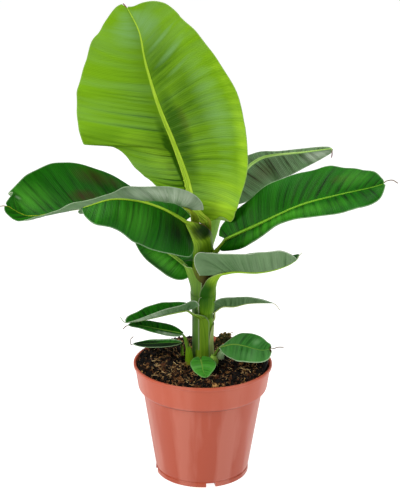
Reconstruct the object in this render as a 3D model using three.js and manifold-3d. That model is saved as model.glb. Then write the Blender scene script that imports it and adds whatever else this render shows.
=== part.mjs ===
// A potted young banana plant: a pseudostem of wrapped leaf bases, its leaves, two side shoots, a bud,
// the soil and the nursery pot. Millimetres, +Z up; the origin is on the pot's axis in its flat underside,
// and +Y points away from the front.
import * as THREE from "three";
import { mergeVertices } from "three/addons/utils/BufferGeometryUtils.js";
import Module from "manifold-3d";

const wasm = await Module();
wasm.setup();

const clearance = 0.3;

const pot = {
  height: 117.5,
  rimRadius: 70,
  lipHeight: 3.4,
  bandBottom: 90.5,
  bandRadius: 65.6,
  shoulderRadius: 60.4,
  footRadius: 47.4,
  footHeight: 4.4,
  wall: 1.8,
  floor: 3.2,
  sides: 48,
  notch: { width: 9.6, depth: 2.6, count: 4, turn: 11 },
};

const soil = {
  edge: 113.2,
  crown: 117,
  flatRadius: 27,
  sectors: 32,
  rings: [9, 18, 27, 36, 45, 53, 60, 65],
  mounds: [
    { x: 24, y: 43, height: 14, reach: 12 },
    { x: 57, y: -10, height: 8, reach: 18 },
    { x: 60, y: 22, height: 6, reach: 15 },
    { x: -36, y: -24, height: 4, reach: 17 },
    { x: -52, y: 12, height: 3, reach: 15 },
    { x: 2, y: -50, height: 2, reach: 12 },
  ],
};

// The pseudostem: height and radius up the stem, on a line that leans a little.
const stem = {
  foot: [0.5, 6],
  top: [0, -1],
  sides: 16,
  profile: [
    [117.3, 12.2],
    [121, 10.8],
    [132, 10.2],
    [150, 10.2],
    [165, 10.6],
    [180, 12.4],
    [194, 13],
    [208, 12.6],
    [222, 11.6],
    [236, 10.8],
    [248, 9.4],
    [256, 7],
  ],
};

// The stations along a midrib (0 base, 1 apex) where each half of a leaf is given, and the usual slant of
// a vein there: the angle in degrees between it and the way the midrib runs, over 90 where it points back
// into the lobe beside the petiole.
const stations = [0, 0.03, 0.08, 0.18, 0.34, 0.52, 0.7, 0.86, 0.95, 1];
const usualSlant = [164, 126, 102, 90, 80, 72, 63, 52, 42, 34];

// Each leaf: the way of its petiole and midrib out from the stem, the way its upper face looks at the base
// and at the apex, and for each half, at each station, the length of the vein and the angle in degrees that
// it folds up by.
const leaves = [
  {
    name: "leaf_upright",
    petiole: [[3, 3, 240], [4, 2, 252], [3, 2, 262]],
    midrib: [[3, 2, 262], [-10, 8, 276], [-19, 20, 305], [-32, 32, 338], [-47, 42, 374], [-59, 50, 413],
      [-65, 54, 442], [-76, 55, 464]],
    face: [[0.1, -1, 0.3], [0, -1, 0.2]],
    stations: [0, 0.03, 0.08, 0.18, 0.27, 0.35, 0.362, 0.45, 0.55, 0.66, 0.76, 0.85, 0.92, 0.97, 1],
    thickness: 2.7,
    stalk: [5.2, 4.2, 1.3],
    left: {
      length: [3, 7, 16, 35, 51, 69, 98, 94, 86, 74, 60, 46, 34, 20, 7],
      slant: [110, 76, 72, 79, 77, 71, 72, 69, 70, 74, 74, 73, 64, 50, 25],
      fold: [16, 17, 19, 22, 25, 27, 27, 25, 23, 21, 20, 19, 18, 18, 18],
    },
    right: {
      length: [10, 30, 45, 60, 74, 81, 82, 85, 81, 71, 58, 45, 23, 9, 3],
      slant: [95, 130, 125, 112, 105, 98, 97, 87, 74, 63, 56, 51, 47, 43, 40],
      fold: [38, 38, 37, 35, 34, 33, 33, 31, 29, 27, 25, 24, 23, 22, 22],
    },
  },
  {
    name: "leaf_left",
    petiole: [[-5, -1, 244], [-8, -5, 260], [-14, -9, 279]],
    midrib: [[-14, -9, 279], [-40, -4, 285], [-68, 3, 283], [-94, 4, 280], [-119, 4, 276], [-147, 1, 272],
      [-172, -3, 270], [-191, -5, 280]],
    face: [[0, 0, 1], [0.1, -0.2, 1]],
    thickness: 2,
    stalk: [4, 3.4, 1.2],
    left: {
      length: [14, 22, 32, 38, 43, 44, 40, 30, 16, 4],
      slant: [160, 130, 106, 92, 80, 72, 64, 56, 48, 40],
      fold: [70, 62, 52, 41, 34, 29, 25, 18, 2, 0],
    },
    right: {
      length: [3, 4, 4, 8, 48, 62, 52, 34, 16, 4],
      slant: [140, 110, 84, 60, 54, 54, 50, 48, 48, 40],
      fold: [0, 0, 0, 4, 44, 56, 46, 38, 36, 30],
    },
  },
  {
    name: "leaf_front_left",
    petiole: [[-5, -8, 236], [-9, -14, 256], [-19, -25, 272]],
    midrib: [[-19, -25, 272], [-37, -45, 289], [-58, -70, 304], [-84, -95, 313], [-108, -115, 311]],
    face: [[0, 0, 1], [0, 0, 1]],
    thickness: 1.9,
    stalk: [5, 3.8, 1.4],
    left: {
      length: [24, 37, 40, 42, 44, 43, 37, 28, 14, 3],
      fold: [-92, -68, -58, -62, -68, -60, -44, -34, -34, -30],
    },
    right: {
      length: [6, 12, 17, 24, 34, 38, 32, 22, 12, 3],
      fold: [40, 40, 36, 14, -30, -42, -40, -36, -32, -30],
    },
  },
  {
    name: "leaf_back_right",
    petiole: [[6, 10, 246], [14, 18, 268], [26, 28, 290]],
    midrib: [[26, 28, 290], [44, 34, 311], [56, 37, 319], [68, 38, 322], [98, 40, 325], [126, 40, 329]],
    face: [[-0.2, 0.75, 0.6], [-0.3, 0.75, 0.5]],
    thickness: 1.5,
    stalk: [3.6, 3, 1.1],
    left: {
      length: [10, 20, 26, 32, 33, 28, 20, 13, 8, 2],
      fold: [-20, -20, -20, -20, -20, -20, -16, -10, -4, 0],
    },
    right: {
      length: [8, 13, 16, 16, 12, 8, 7, 6, 4, 1],
      fold: [70, 70, 75, 80, 100, 110, 100, 90, 80, 60],
    },
  },
  {
    name: "leaf_right",
    petiole: [[11, -8, 236], [16, -11, 244], [22, -14, 251]],
    midrib: [[22, -14, 251], [54, -24, 270], [92, -36, 292], [129, -46, 306], [157, -53, 315],
      [166, -56, 319]],
    face: [[-0.1, -0.2, 1], [0, -0.3, 1]],
    thickness: 1.8,
    stalk: [3.8, 3.2, 1.1],
    left: {
      length: [8, 15, 20, 28, 40, 47, 37, 23, 11, 2],
      fold: [50, 44, 44, 42, 28, 14, 16, 20, 24, 24],
    },
    right: {
      length: [8, 13, 14, 12, 14, 28, 37, 26, 12, 3],
      fold: [-60, -70, -64, -40, -4, 2, 2, -8, -14, -16],
    },
  },
  {
    name: "leaf_lower_right",
    petiole: [[9, -12, 196], [13, -17, 207], [19, -22, 216]],
    midrib: [[19, -22, 216], [31, -28, 222], [51, -36, 224], [68, -42, 229], [82, -46, 236],
      [88, -48, 241]],
    face: [[0, 0, 1], [0, 0, 1]],
    thickness: 1.3,
    stalk: [3.8, 3.2, 1],
    left: {
      length: [12, 20, 26, 30, 32, 30, 25, 17, 9, 2],
      fold: [24, 22, 20, 20, 20, 18, 16, 14, 12, 10],
    },
    right: {
      length: [25, 37, 33, 29, 31, 31, 27, 17, 9, 2],
      fold: [82, 80, 64, 52, 54, 58, 58, 56, 50, 40],
    },
  },
  {
    name: "leaf_lower_left",
    petiole: [[-11, 2, 190], [-14, 4, 203], [-19, 8, 217]],
    midrib: [[-19, 8, 217], [-28, 12, 223], [-40, 17, 229], [-52, 21, 234], [-65, 26, 238]],
    face: [[0.1, -0.2, 1], [0, -0.2, 1]],
    thickness: 1.3,
    stalk: [3.6, 3, 1],
    left: {
      length: [12, 16, 18, 19, 19, 18, 15, 10, 6, 2],
      fold: [-50, -50, -50, -50, -50, -48, -44, -40, -36, -30],
    },
    right: {
      length: [8, 14, 18, 20, 21, 20, 16, 11, 6, 2],
      fold: [6, 6, 4, 4, 2, 2, 0, 0, 0, 0],
    },
  },
  {
    name: "leaf_small_left",
    petiole: [[-5, -8, 166], [-9, -12, 173], [-17, -15, 177]],
    midrib: [[-17, -15, 177], [-32, -19, 175], [-49, -23, 172], [-64, -27, 170], [-75, -29, 169]],
    face: [[0, 0, 1], [0, 0, 1]],
    thickness: 0.9,
    stalk: [2.4, 2, 0.8],
    left: {
      length: [14, 17, 14, 13, 13, 12, 10, 7, 4, 1],
      fold: [60, 60, 55, 50, 47, 45, 40, 36, 30, 20],
    },
    right: {
      length: [6, 9, 11, 13, 15, 15, 12, 9, 5, 1],
      fold: [20, 25, 30, 36, 42, 42, 42, 42, 40, 30],
    },
  },
  {
    name: "leaf_small_right",
    petiole: [[9, 4, 156], [11, 4, 162], [14, 4, 169]],
    midrib: [[14, 4, 169], [20, 4, 173], [31, 4, 174.5], [42, 5, 177], [50, 5, 178], [69, 6, 178]],
    face: [[0, 0, 1], [0, 0, 1]],
    thickness: 0.9,
    stalk: [2.2, 1.8, 0.8],
    left: {
      length: [4, 7, 9, 11, 12, 11, 9, 6, 3, 1],
      fold: [20, 20, 20, 20, 20, 20, 18, 16, 14, 10],
    },
    right: {
      length: [6, 9, 12, 15, 17, 15, 11, 7, 4, 1],
      fold: [60, 60, 58, 56, 56, 50, 42, 36, 30, 20],
    },
  },
  {
    name: "leaf_shoot_left",
    petiole: [[-14.5, -7, 136], [-16.5, -9, 146], [-22, -13, 152.5]],
    midrib: [[-22, -13, 152.5], [-35, -16, 156], [-53, -20, 161.3], [-64, -22, 164], [-73, -24, 164.8]],
    face: [[0, -0.2, 1], [0, -0.2, 1]],
    thickness: 0.8,
    stalk: [2.2, 1.8, 0.7],
    left: {
      length: [3, 4, 6, 8, 10, 10, 8, 6, 3, 1],
      fold: [-6, -6, -6, -4, 0, 2, 4, 6, 6, 6],
    },
    right: {
      length: [3, 4, 6, 8, 9, 9, 8, 6, 3, 1],
      fold: [20, 20, 20, 20, 20, 20, 20, 18, 14, 10],
    },
  },
  {
    name: "leaf_low_left",
    petiole: [[-21, 12, 117.3], [-21, 13, 126], [-24, 15, 131]],
    midrib: [[-24, 15, 131], [-36, 20, 129], [-50, 26, 126], [-62, 31, 123.5], [-71, 35, 122]],
    face: [[0, -0.1, 1], [0, -0.1, 1]],
    thickness: 0.8,
    stalk: [1.5, 1.4, 0.7],
    left: {
      length: [3, 4, 5, 7, 8, 8, 7, 5, 3, 1],
      fold: [-10, -10, -10, -10, -10, -10, -8, -6, -6, -6],
    },
    right: {
      length: [3, 4, 5, 7, 8, 8, 7, 5, 3, 1],
      fold: [10, 10, 10, 10, 10, 8, 8, 6, 6, 6],
    },
  },
  {
    name: "leaf_shoot_right",
    petiole: [[11, -9, 128], [13, -11, 133], [18, -14, 138.5]],
    midrib: [[18, -14, 138.5], [31, -16, 142], [42, -18, 141], [53, -20, 138.5], [63, -21, 137],
      [74, -22, 142.5]],
    face: [[0, -0.2, 1], [0.1, -0.2, 1]],
    thickness: 0.8,
    stalk: [2.2, 1.9, 0.8],
    left: {
      length: [2, 3, 4, 8, 16, 19, 17, 11, 6, 2],
      fold: [14, 16, 18, 20, 22, 20, 18, 16, 12, 10],
    },
    right: {
      length: [5, 8, 12, 16, 19, 17, 14, 10, 6, 2],
      fold: [-20, -24, -26, -28, -28, -26, -26, -26, -20, -10],
    },
  },
  {
    name: "leaf_front_low",
    petiole: [[0, -4, 122], [-1, -13, 127], [-1, -23, 127.5]],
    midrib: [[-1, -23, 127.5], [0, -31, 126.5], [2, -40, 122.5], [4.5, -48, 118.4]],
    face: [[0, -0.5, 1], [0, -0.6, 1]],
    thickness: 0.8,
    stalk: [1.9, 1.6, 0.8],
    left: {
      length: [6, 12, 15, 16, 14, 11, 8, 5, 3, 1],
      fold: [-8, -8, -8, -6, -4, -2, 0, 2, 4, 4],
    },
    right: {
      length: [6, 10, 12, 12, 11, 9, 7, 5, 3, 1],
      fold: [-4, -6, -8, -8, -6, -4, 0, 2, 4, 4],
    },
  },
];

// The short stems of the two side shoots, and a bud that has just come up.
const shoots = [
  {
    name: "shoot_left",
    way: [[-12.5, -9, 117.3], [-13.5, -8, 126], [-14.5, -7, 136]],
    radii: [4.4, 3.6, 2.2],
    sides: 10,
  },
  {
    name: "shoot_right",
    way: [[11, -9.5, 117.3], [11.2, -9.3, 123], [11, -9, 128]],
    radii: [4.6, 4, 2.4],
    sides: 10,
  },
  {
    name: "bud_right",
    way: [[18, 5, 117.3], [18, 5.5, 121], [18, 6, 126]],
    radii: [3.4, 3.8, 1.6],
    sides: 8,
  },
];

const materialOf = {
  pot: { color: 0xc9735c, roughness: 0.45, metalness: 0 },
  soil: { color: 0x2e1c13, roughness: 0.95, metalness: 0 },
  stem: { color: 0x7f9c3a, roughness: 0.5, metalness: 0 },
  youngLeaf: { color: 0x86b84a, roughness: 0.45, metalness: 0 },
  leaf: { color: 0x2f7020, roughness: 0.4, metalness: 0 },
};

const vec = (p) => new THREE.Vector3(...p);
const rad = THREE.MathUtils.degToRad;

function solid(positions, faces) {
  const vertProperties = new Float32Array(positions.flatMap((p) => [p.x, p.y, p.z]));
  const mesh = new wasm.Mesh({ numProp: 3, vertProperties, triVerts: new Uint32Array(faces) });
  const made = new wasm.Manifold(mesh);
  return made;
}

function solidOf(geometry) {
  const bare = geometry.clone();
  bare.deleteAttribute("normal");
  bare.deleteAttribute("uv");
  const merged = mergeVertices(bare, 1e-3);
  const vertProperties = new Float32Array(merged.attributes.position.array);
  const triVerts = new Uint32Array(merged.index.array);
  return new wasm.Manifold(new wasm.Mesh({ numProp: 3, vertProperties, triVerts }));
}

function largest(body) {
  return body.decompose().sort((a, b) => b.volume() - a.volume())[0];
}

function meshOf(name, body, material) {
  const made = body.getMesh();
  const geometry = new THREE.BufferGeometry();
  const positions = [];
  for (let i = 0; i < made.numVert; i += 1) {
    positions.push(...made.vertProperties.subarray(i * made.numProp, i * made.numProp + 3));
  }
  geometry.setAttribute("position", new THREE.BufferAttribute(new Float32Array(positions), 3));
  geometry.setIndex(new THREE.BufferAttribute(new Uint32Array(made.triVerts), 1));
  geometry.computeVertexNormals();
  const mesh = new THREE.Mesh(geometry, new THREE.MeshStandardMaterial(material));
  mesh.name = name;
  return mesh;
}

// The value at x of a list of [x, value], with straight lines between.
function along(list, x) {
  let i = 0;
  while (i < list.length - 2 && list[i + 1][0] < x) {
    i += 1;
  }
  const [x0, y0] = list[i];
  const [x1, y1] = list[i + 1];
  return THREE.MathUtils.lerp(y0, y1, THREE.MathUtils.clamp((x - x0) / (x1 - x0), 0, 1));
}

// A closed round limb through the points, with a radius for each; its rings are level where level is set,
// else across its way.
function limb(points, radii, sides, level = false) {
  const positions = [];
  const faces = [];
  points.forEach((point, i) => {
    const before = points[Math.max(i - 1, 0)];
    const after = points[Math.min(i + 1, points.length - 1)];
    const way = level ? new THREE.Vector3(0, 0, 1) : after.clone().sub(before).normalize();
    const side = new THREE.Vector3(way.z, 0.3, -way.x).cross(way).normalize();
    const up = way.clone().cross(side);
    for (let k = 0; k < sides; k += 1) {
      const turn = (2 * Math.PI * k) / sides;
      const offset = side.clone().multiplyScalar(radii[i] * Math.cos(turn));
      positions.push(offset.addScaledVector(up, radii[i] * Math.sin(turn)).add(point));
    }
  });
  const last = points.length - 1;
  for (let i = 0; i < last; i += 1) {
    for (let k = 0; k < sides; k += 1) {
      const a = i * sides + k;
      const b = i * sides + ((k + 1) % sides);
      faces.push(a, b, b + sides, a, b + sides, a + sides);
    }
  }
  for (let k = 1; k < sides - 1; k += 1) {
    faces.push(0, k + 1, k, last * sides, last * sides + k, last * sides + k + 1);
  }
  const made = solid(positions, faces);
  return made.volume() < 0 ? solid(positions, faces.reverse()) : made;
}

function turned(profile, sides) {
  const points = profile.map(([r, z]) => new THREE.Vector2(r, z));
  return solidOf(new THREE.LatheGeometry(points, sides).rotateX(Math.PI / 2));
}

// The pot's inside from the floor up, as heights and radii.
const innerWall = [
  [pot.floor, pot.footRadius - pot.wall - 3],
  [pot.footHeight + 4, pot.footRadius - pot.wall - 0.6],
  [pot.bandBottom - 3, pot.shoulderRadius - pot.wall],
  [pot.bandBottom + 4, pot.bandRadius - pot.wall - 0.8],
  [pot.height - pot.lipHeight, pot.rimRadius - pot.wall - 1.6],
];

function potSolid() {
  const { height, rimRadius: rim, wall } = pot;
  const body = turned(
    [
      [0, 0],
      [pot.footRadius, 0],
      [pot.footRadius, pot.footHeight],
      [pot.footRadius - 0.6, pot.footHeight + 0.4],
      [pot.shoulderRadius, pot.bandBottom - 2],
      [pot.bandRadius - 2.6, pot.bandBottom - 0.6],
      [pot.bandRadius - 0.8, pot.bandBottom + 1.4],
      [pot.bandRadius, pot.bandBottom + 4],
      [rim - 1, height - pot.lipHeight - 0.6],
      [rim - 0.2, height - pot.lipHeight],
      [rim, height - 0.8],
      [rim - 0.8, height],
      [rim - wall - 0.6, height],
      ...innerWall.map(([z, r]) => [r, z]).reverse(),
      [0, pot.floor],
    ],
    pot.sides,
  );
  const { width, depth, count, turn } = pot.notch;
  let cut = body;
  for (let i = 0; i < count; i += 1) {
    const block = new THREE.BoxGeometry(width, 2 * depth, 2 * pot.footHeight);
    block.translate(0, -pot.footRadius, 0);
    block.rotateZ(rad((360 / count) * i + turn));
    cut = cut.subtract(solidOf(block));
  }
  return cut;
}

function soilHeight(x, y) {
  const out = THREE.MathUtils.clamp((Math.hypot(x, y) - soil.flatRadius) / (65 - soil.flatRadius), 0, 1);
  let z = THREE.MathUtils.lerp(soil.crown, soil.edge, out ** 1.5);
  for (const mound of soil.mounds) {
    const near = Math.max(0, 1 - Math.hypot(x - mound.x, y - mound.y) ** 2 / mound.reach ** 2);
    z += mound.height * near ** 1.2;
  }
  return z;
}

// The soil fills the pot to its inner wall, less the clearance, and its top follows soilHeight.
function soilSolid() {
  const inner = innerWall.map(([z, r]) => [z, r - 1.5 * clearance]);
  const wallRings = [[along(inner, soil.edge - 1), soil.edge - 1]];
  for (const [z, r] of inner.slice(0, -1).reverse()) {
    wallRings.push([r, z]);
  }
  wallRings[wallRings.length - 1][1] += clearance;
  const positions = [new THREE.Vector3(0, 0, soilHeight(0, 0))];
  const faces = [];
  const rings = [...soil.rings.map((r) => [r, null]), ...wallRings];
  for (const [r, z] of rings) {
    for (let k = 0; k < soil.sectors; k += 1) {
      const turn = (2 * Math.PI * (k + 0.5)) / soil.sectors;
      const x = r * Math.cos(turn);
      const y = r * Math.sin(turn);
      positions.push(new THREE.Vector3(x, y, z ?? soilHeight(x, y)));
    }
  }
  for (let i = 0; i < rings.length; i += 1) {
    for (let k = 0; k < soil.sectors; k += 1) {
      const next = (k + 1) % soil.sectors;
      const a = 1 + i * soil.sectors + k;
      const b = 1 + i * soil.sectors + next;
      if (i === 0) {
        faces.push(0, a, b);
      }
      if (i < rings.length - 1) {
        faces.push(a, a + soil.sectors, b + soil.sectors, a, b + soil.sectors, b);
      }
    }
  }
  const under = positions.length;
  positions.push(new THREE.Vector3(0, 0, pot.floor + clearance));
  for (let k = 0; k < soil.sectors; k += 1) {
    const last = 1 + (rings.length - 1) * soil.sectors;
    faces.push(under, last + ((k + 1) % soil.sectors), last + k);
  }
  return solid(positions, faces);
}

function stemLine(z) {
  const [from, to] = [stem.profile[0][0], stem.profile[stem.profile.length - 1][0]];
  const share = (z - from) / (to - from);
  return new THREE.Vector3(
    THREE.MathUtils.lerp(stem.foot[0], stem.top[0], share),
    THREE.MathUtils.lerp(stem.foot[1], stem.top[1], share),
    z,
  );
}

// An upright limb, wider all round by extra and longer by it at the top.
function upright(points, radii, sides, extra) {
  const way = points.map((p) => p.clone());
  way[way.length - 1].z += extra;
  return limb(way, radii.map((r) => r + extra), sides, true);
}

function stemSolid(extra = 0) {
  const way = stem.profile.map(([z]) => stemLine(z));
  const radii = stem.profile.map(([, r]) => r);
  return upright(way, radii, stem.sides, extra);
}

// A point of one half of a leaf (side -1 left, 1 right): share from the midrib to the margin, along the
// vein at station i.
function bladePoint(leaf, side, i, share) {
  const half = side < 0 ? leaf.left : leaf.right;
  const list = leaf.stations ?? stations;
  const slant = rad((half.slant ?? usualSlant)[i]);
  const fold = rad(half.fold[i]);
  const { at, way, face } = midribFrame(leaf, list[i]);
  const across = way.clone().cross(face).multiplyScalar(side);
  const reach = half.length[i] * share;
  return at
    .addScaledVector(way, Math.cos(slant) * reach)
    .addScaledVector(across, Math.sin(slant) * Math.cos(fold) * reach)
    .addScaledVector(face, Math.sin(slant) * Math.sin(fold) * reach);
}

function midribFrame(leaf, t) {
  leaf.curve ??= new THREE.CatmullRomCurve3(leaf.midrib.map(vec), false, "centripetal");
  const at = leaf.curve.getPointAt(t);
  const way = leaf.curve.getTangentAt(t);
  const face = vec(leaf.face[0]).normalize().lerp(vec(leaf.face[1]).normalize(), t);
  face.addScaledVector(way, -face.dot(way)).normalize();
  return { at, way, face };
}

const steps = 3;

// The blade as one closed sheet: a grid of veins by points across both halves, given the leaf's thickness.
function bladeSolid(leaf) {
  const rows = (leaf.stations ?? stations).length;
  const columns = 2 * steps + 1;
  const middle = [];
  for (let i = 0; i < rows; i += 1) {
    for (let j = -steps; j <= steps; j += 1) {
      middle.push(bladePoint(leaf, Math.sign(j) || 1, i, Math.abs(j) / steps));
    }
  }
  const cells = [];
  for (let i = 0; i < rows - 1; i += 1) {
    for (let j = 0; j < columns - 1; j += 1) {
      const a = i * columns + j;
      cells.push([a, a + 1, a + columns + 1], [a, a + columns + 1, a + columns]);
    }
  }
  const normals = middle.map(() => new THREE.Vector3());
  for (const cell of cells) {
    const [a, b, c] = cell.map((k) => middle[k]);
    const normal = b.clone().sub(a).cross(c.clone().sub(a));
    cell.forEach((k) => normals[k].add(normal));
  }
  const count = middle.length;
  const out = normals.map((normal) => normal.normalize());
  const skin = (shift) => middle.map((p, k) => p.clone().addScaledVector(out[k], shift));
  const positions = [...skin(leaf.thickness / 2), ...skin(-leaf.thickness / 2)];
  const faces = cells.flatMap(([a, b, c]) => [a, b, c, a + count, c + count, b + count]);
  const edge = [];
  for (let j = 0; j < columns; j += 1) {
    edge.push(j);
  }
  for (let i = 1; i < rows; i += 1) {
    edge.push(i * columns + columns - 1);
  }
  for (let j = columns - 2; j >= 0; j -= 1) {
    edge.push((rows - 1) * columns + j);
  }
  for (let i = rows - 2; i > 0; i -= 1) {
    edge.push(i * columns);
  }
  edge.forEach((a, k) => {
    const b = edge[(k + 1) % edge.length];
    faces.push(b, a, a + count, b, a + count, b + count);
  });
  const made = solid(positions, faces);
  return made.volume() < 0 ? solid(positions, faces.reverse()) : made;
}

// The petiole and the midrib's keel under the blade, as one tapering limb.
function stalkSolid(leaf, extra = 0) {
  const [root, base, tip] = leaf.stalk;
  const points = leaf.petiole.slice(0, -1).map(vec);
  const radii = points.map((_, i) => THREE.MathUtils.lerp(root, base, i / points.length) + extra);
  for (const t of [0, 0.1, 0.25, 0.42, 0.6, 0.78, 0.94]) {
    const { at, face } = midribFrame(leaf, t);
    const radius = THREE.MathUtils.lerp(base, tip, t);
    points.push(at.addScaledVector(face, -0.55 * radius));
    radii.push(radius + extra);
  }
  return limb(points, radii, 8);
}

const group = new THREE.Group();
group.name = "banana_plant";

const add = (name, body, material) => {
  group.add(meshOf(name, body, material));
};

add("pot", potSolid(), materialOf.pot);
add("soil", soilSolid(), materialOf.soil);
add("pseudostem", stemSolid(), materialOf.stem);

let taken = stemSolid(clearance);
for (const shoot of shoots) {
  const shootSolid = (extra) => upright(shoot.way.map(vec), shoot.radii, shoot.sides, extra);
  add(shoot.name, largest(shootSolid(0).subtract(taken)), materialOf.stem);
  taken = taken.add(shootSolid(clearance));
}
for (const leaf of leaves) {
  const body = bladeSolid(leaf).add(stalkSolid(leaf)).subtract(taken);
  add(leaf.name, largest(body), leaf.name === "leaf_upright" ? materialOf.youngLeaf : materialOf.leaf);
  taken = taken.add(stalkSolid(leaf, clearance));
}

export default group;
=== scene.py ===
# A young banana plant in a nursery pot: a stem of wrapped leaf bases, thirteen leaves, side shoots and soil.
import math
import random

import bpy
import numpy as np
from mathutils import Matrix, Vector


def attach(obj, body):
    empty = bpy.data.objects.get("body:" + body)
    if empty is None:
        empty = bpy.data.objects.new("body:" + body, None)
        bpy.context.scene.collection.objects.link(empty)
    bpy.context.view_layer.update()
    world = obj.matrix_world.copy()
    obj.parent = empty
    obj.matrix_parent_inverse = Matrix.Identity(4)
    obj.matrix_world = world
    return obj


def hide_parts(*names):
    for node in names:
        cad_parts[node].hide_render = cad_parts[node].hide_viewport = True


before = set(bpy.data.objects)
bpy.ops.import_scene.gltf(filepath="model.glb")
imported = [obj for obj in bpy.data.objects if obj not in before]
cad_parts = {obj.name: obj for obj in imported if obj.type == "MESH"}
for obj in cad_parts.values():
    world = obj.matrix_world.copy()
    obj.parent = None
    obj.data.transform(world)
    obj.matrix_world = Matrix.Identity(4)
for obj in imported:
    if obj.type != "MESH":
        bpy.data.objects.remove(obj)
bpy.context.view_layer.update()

mm = 0.001  # every setting below is in millimetres and degrees, and each mesh is made in metres


# small helpers

def hexColour(code):
    parts = [int(code[i:i + 2], 16) / 255 for i in (0, 2, 4)]
    linear = [p / 12.92 if p <= 0.04045 else ((p + 0.055) / 1.055) ** 2.4 for p in parts]
    return (*linear, 1.0)


def addNode(tree, kind, inputs=None, out=None, stops=None, **settings):
    # an input takes a fixed value or another node's socket; stops fill a colour ramp
    node = tree.nodes.new(kind)
    for name, value in settings.items():
        setattr(node, name, value)
    for socket, value in (inputs or {}).items():
        if isinstance(value, bpy.types.NodeSocket):
            tree.links.new(value, node.inputs[socket])
        else:
            node.inputs[socket].default_value = value
    for i, (place, colour) in enumerate(stops or []):
        element = node.color_ramp.elements[i] if i < 2 else node.color_ramp.elements.new(place)
        element.position = place
        element.color = hexColour(colour)
    return node if out is None else node.outputs[out]


def newMaterial(name):
    material = bpy.data.materials.new(name)
    material.use_nodes = True
    tree = material.node_tree
    return material, tree, tree.nodes["Principled BSDF"]


def meshPiece(name, points, faces, materials, faceSlots=None, fields=None):
    # points in millimetres; a field is a number or a vector at each point
    mesh = bpy.data.meshes.new(name)
    mesh.from_pydata((np.asarray(points) * mm).tolist(), [], [list(map(int, f)) for f in faces])
    for material in materials:
        mesh.materials.append(material)
    if faceSlots is not None:
        mesh.polygons.foreach_set("material_index", np.asarray(faceSlots, np.int32))
    for field, values in (fields or {}).items():
        values = np.asarray(values, np.float32)
        kind = "FLOAT_VECTOR" if values.ndim == 2 else "FLOAT"
        layer = mesh.attributes.new(field, kind, "POINT")
        layer.data.foreach_set("vector" if values.ndim == 2 else "value", values.ravel())
    mesh.shade_smooth()
    mesh.update()
    piece = bpy.data.objects.new(name, mesh)
    bpy.context.scene.collection.objects.link(piece)
    return piece


def unit(v):
    v = np.asarray(v, float)
    return v / np.maximum(np.linalg.norm(v, axis=-1, keepdims=True), 1e-12)


def mix(a, b, share):
    return a + (b - a) * share


def smoothStep(low, high, x):
    s = np.clip((np.asarray(x, float) - low) / (high - low), 0, 1)
    return s * s * (3 - 2 * s)


def eased(places, values, x):
    # a monotone cubic through the values, so a curve never swings past them
    p, v = np.asarray(places, float), np.asarray(values, float)
    step = np.diff(p)
    slope = np.diff(v) / step
    tangent = np.zeros(len(p))
    for i in range(1, len(p) - 1):
        if slope[i - 1] * slope[i] > 0:
            a, b = 2 * step[i] + step[i - 1], step[i] + 2 * step[i - 1]
            tangent[i] = (a + b) / (a / slope[i - 1] + b / slope[i])
    tangent[0], tangent[-1] = slope[0], slope[-1]
    x = np.clip(np.asarray(x, float), p[0], p[-1])
    k = np.clip(np.searchsorted(p, x, side="right") - 1, 0, len(p) - 2)
    s = (x - p[k]) / step[k]
    return (v[k] * (1 + 2 * s) * (1 - s) ** 2 + step[k] * tangent[k] * s * (1 - s) ** 2
            + v[k + 1] * s * s * (3 - 2 * s) + step[k] * tangent[k + 1] * s * s * (s - 1))


def curveThrough(points, perSpan=40):
    # a centripetal curve through the points; returns its points and how far along each lies
    p = np.asarray(points, float)
    p = np.vstack([2 * p[0] - p[1], p, 2 * p[-1] - p[-2]])
    out = []
    for i in range(1, len(p) - 2):
        d0, d1, d2 = (max(np.linalg.norm(p[i + k] - p[i + k - 1]) ** 0.5, 1e-6) for k in (0, 1, 2))
        t1 = ((p[i] - p[i - 1]) / d0 - (p[i + 1] - p[i - 1]) / (d0 + d1) + (p[i + 1] - p[i]) / d1) * d1
        t2 = ((p[i + 1] - p[i]) / d1 - (p[i + 2] - p[i]) / (d1 + d2) + (p[i + 2] - p[i + 1]) / d2) * d1
        for s in np.arange(perSpan) / perSpan:
            out.append(p[i] + t1 * s + (3 * (p[i + 1] - p[i]) - 2 * t1 - t2) * s ** 2
                       + (2 * (p[i] - p[i + 1]) + t1 + t2) * s ** 3)
    out.append(p[-2])
    out = np.array(out)
    run = np.concatenate([[0], np.cumsum(np.linalg.norm(np.diff(out, axis=0), axis=1))])
    return out, run


def alongCurve(curve, share):
    out, run = curve
    want = np.asarray(share, float) * run[-1]
    return np.stack([np.interp(want, run, out[:, k]) for k in range(3)], axis=-1)


def wayOf(curve, share, reach=0.004):
    # the way the curve runs there, from a little before to a little after
    a = alongCurve(curve, np.clip(np.asarray(share) - reach, 0, 1))
    b = alongCurve(curve, np.clip(np.asarray(share) + reach, 0, 1))
    return unit(b - a)


def givePlace(piece, node):
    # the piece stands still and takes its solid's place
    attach(piece, "root")
    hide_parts(node)


# the camera, at the height and the slight tilt of a catalogue shot; soft light from both sides and from above

shot = {
    "place": (-3.65, -1321.06, 659.85),
    "pitch": 17.57,
    "roll": 0.4,
    "lens": 103.87,
}

lights = {
    # name: place, aim, width, height, watts, colour
    "softboxLeft": ((-900, -750, 1000), (0, 0, 250), 600, 900, 17, "fffaf2"),
    "softboxRight": ((950, -300, 750), (0, 0, 220), 400, 1000, 7, "f4f9ff"),
    "softboxTop": ((-150, 250, 1500), (0, 0, 200), 1000, 700, 12, "ffffff"),
}

studio = {
    "floorSize": 16000,
    "floor": "959594",
    "floorGlow": 0.95,
    "world": "ffffff",
    "worldFront": 0.1,
    "worldBack": 0.22,
}


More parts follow.
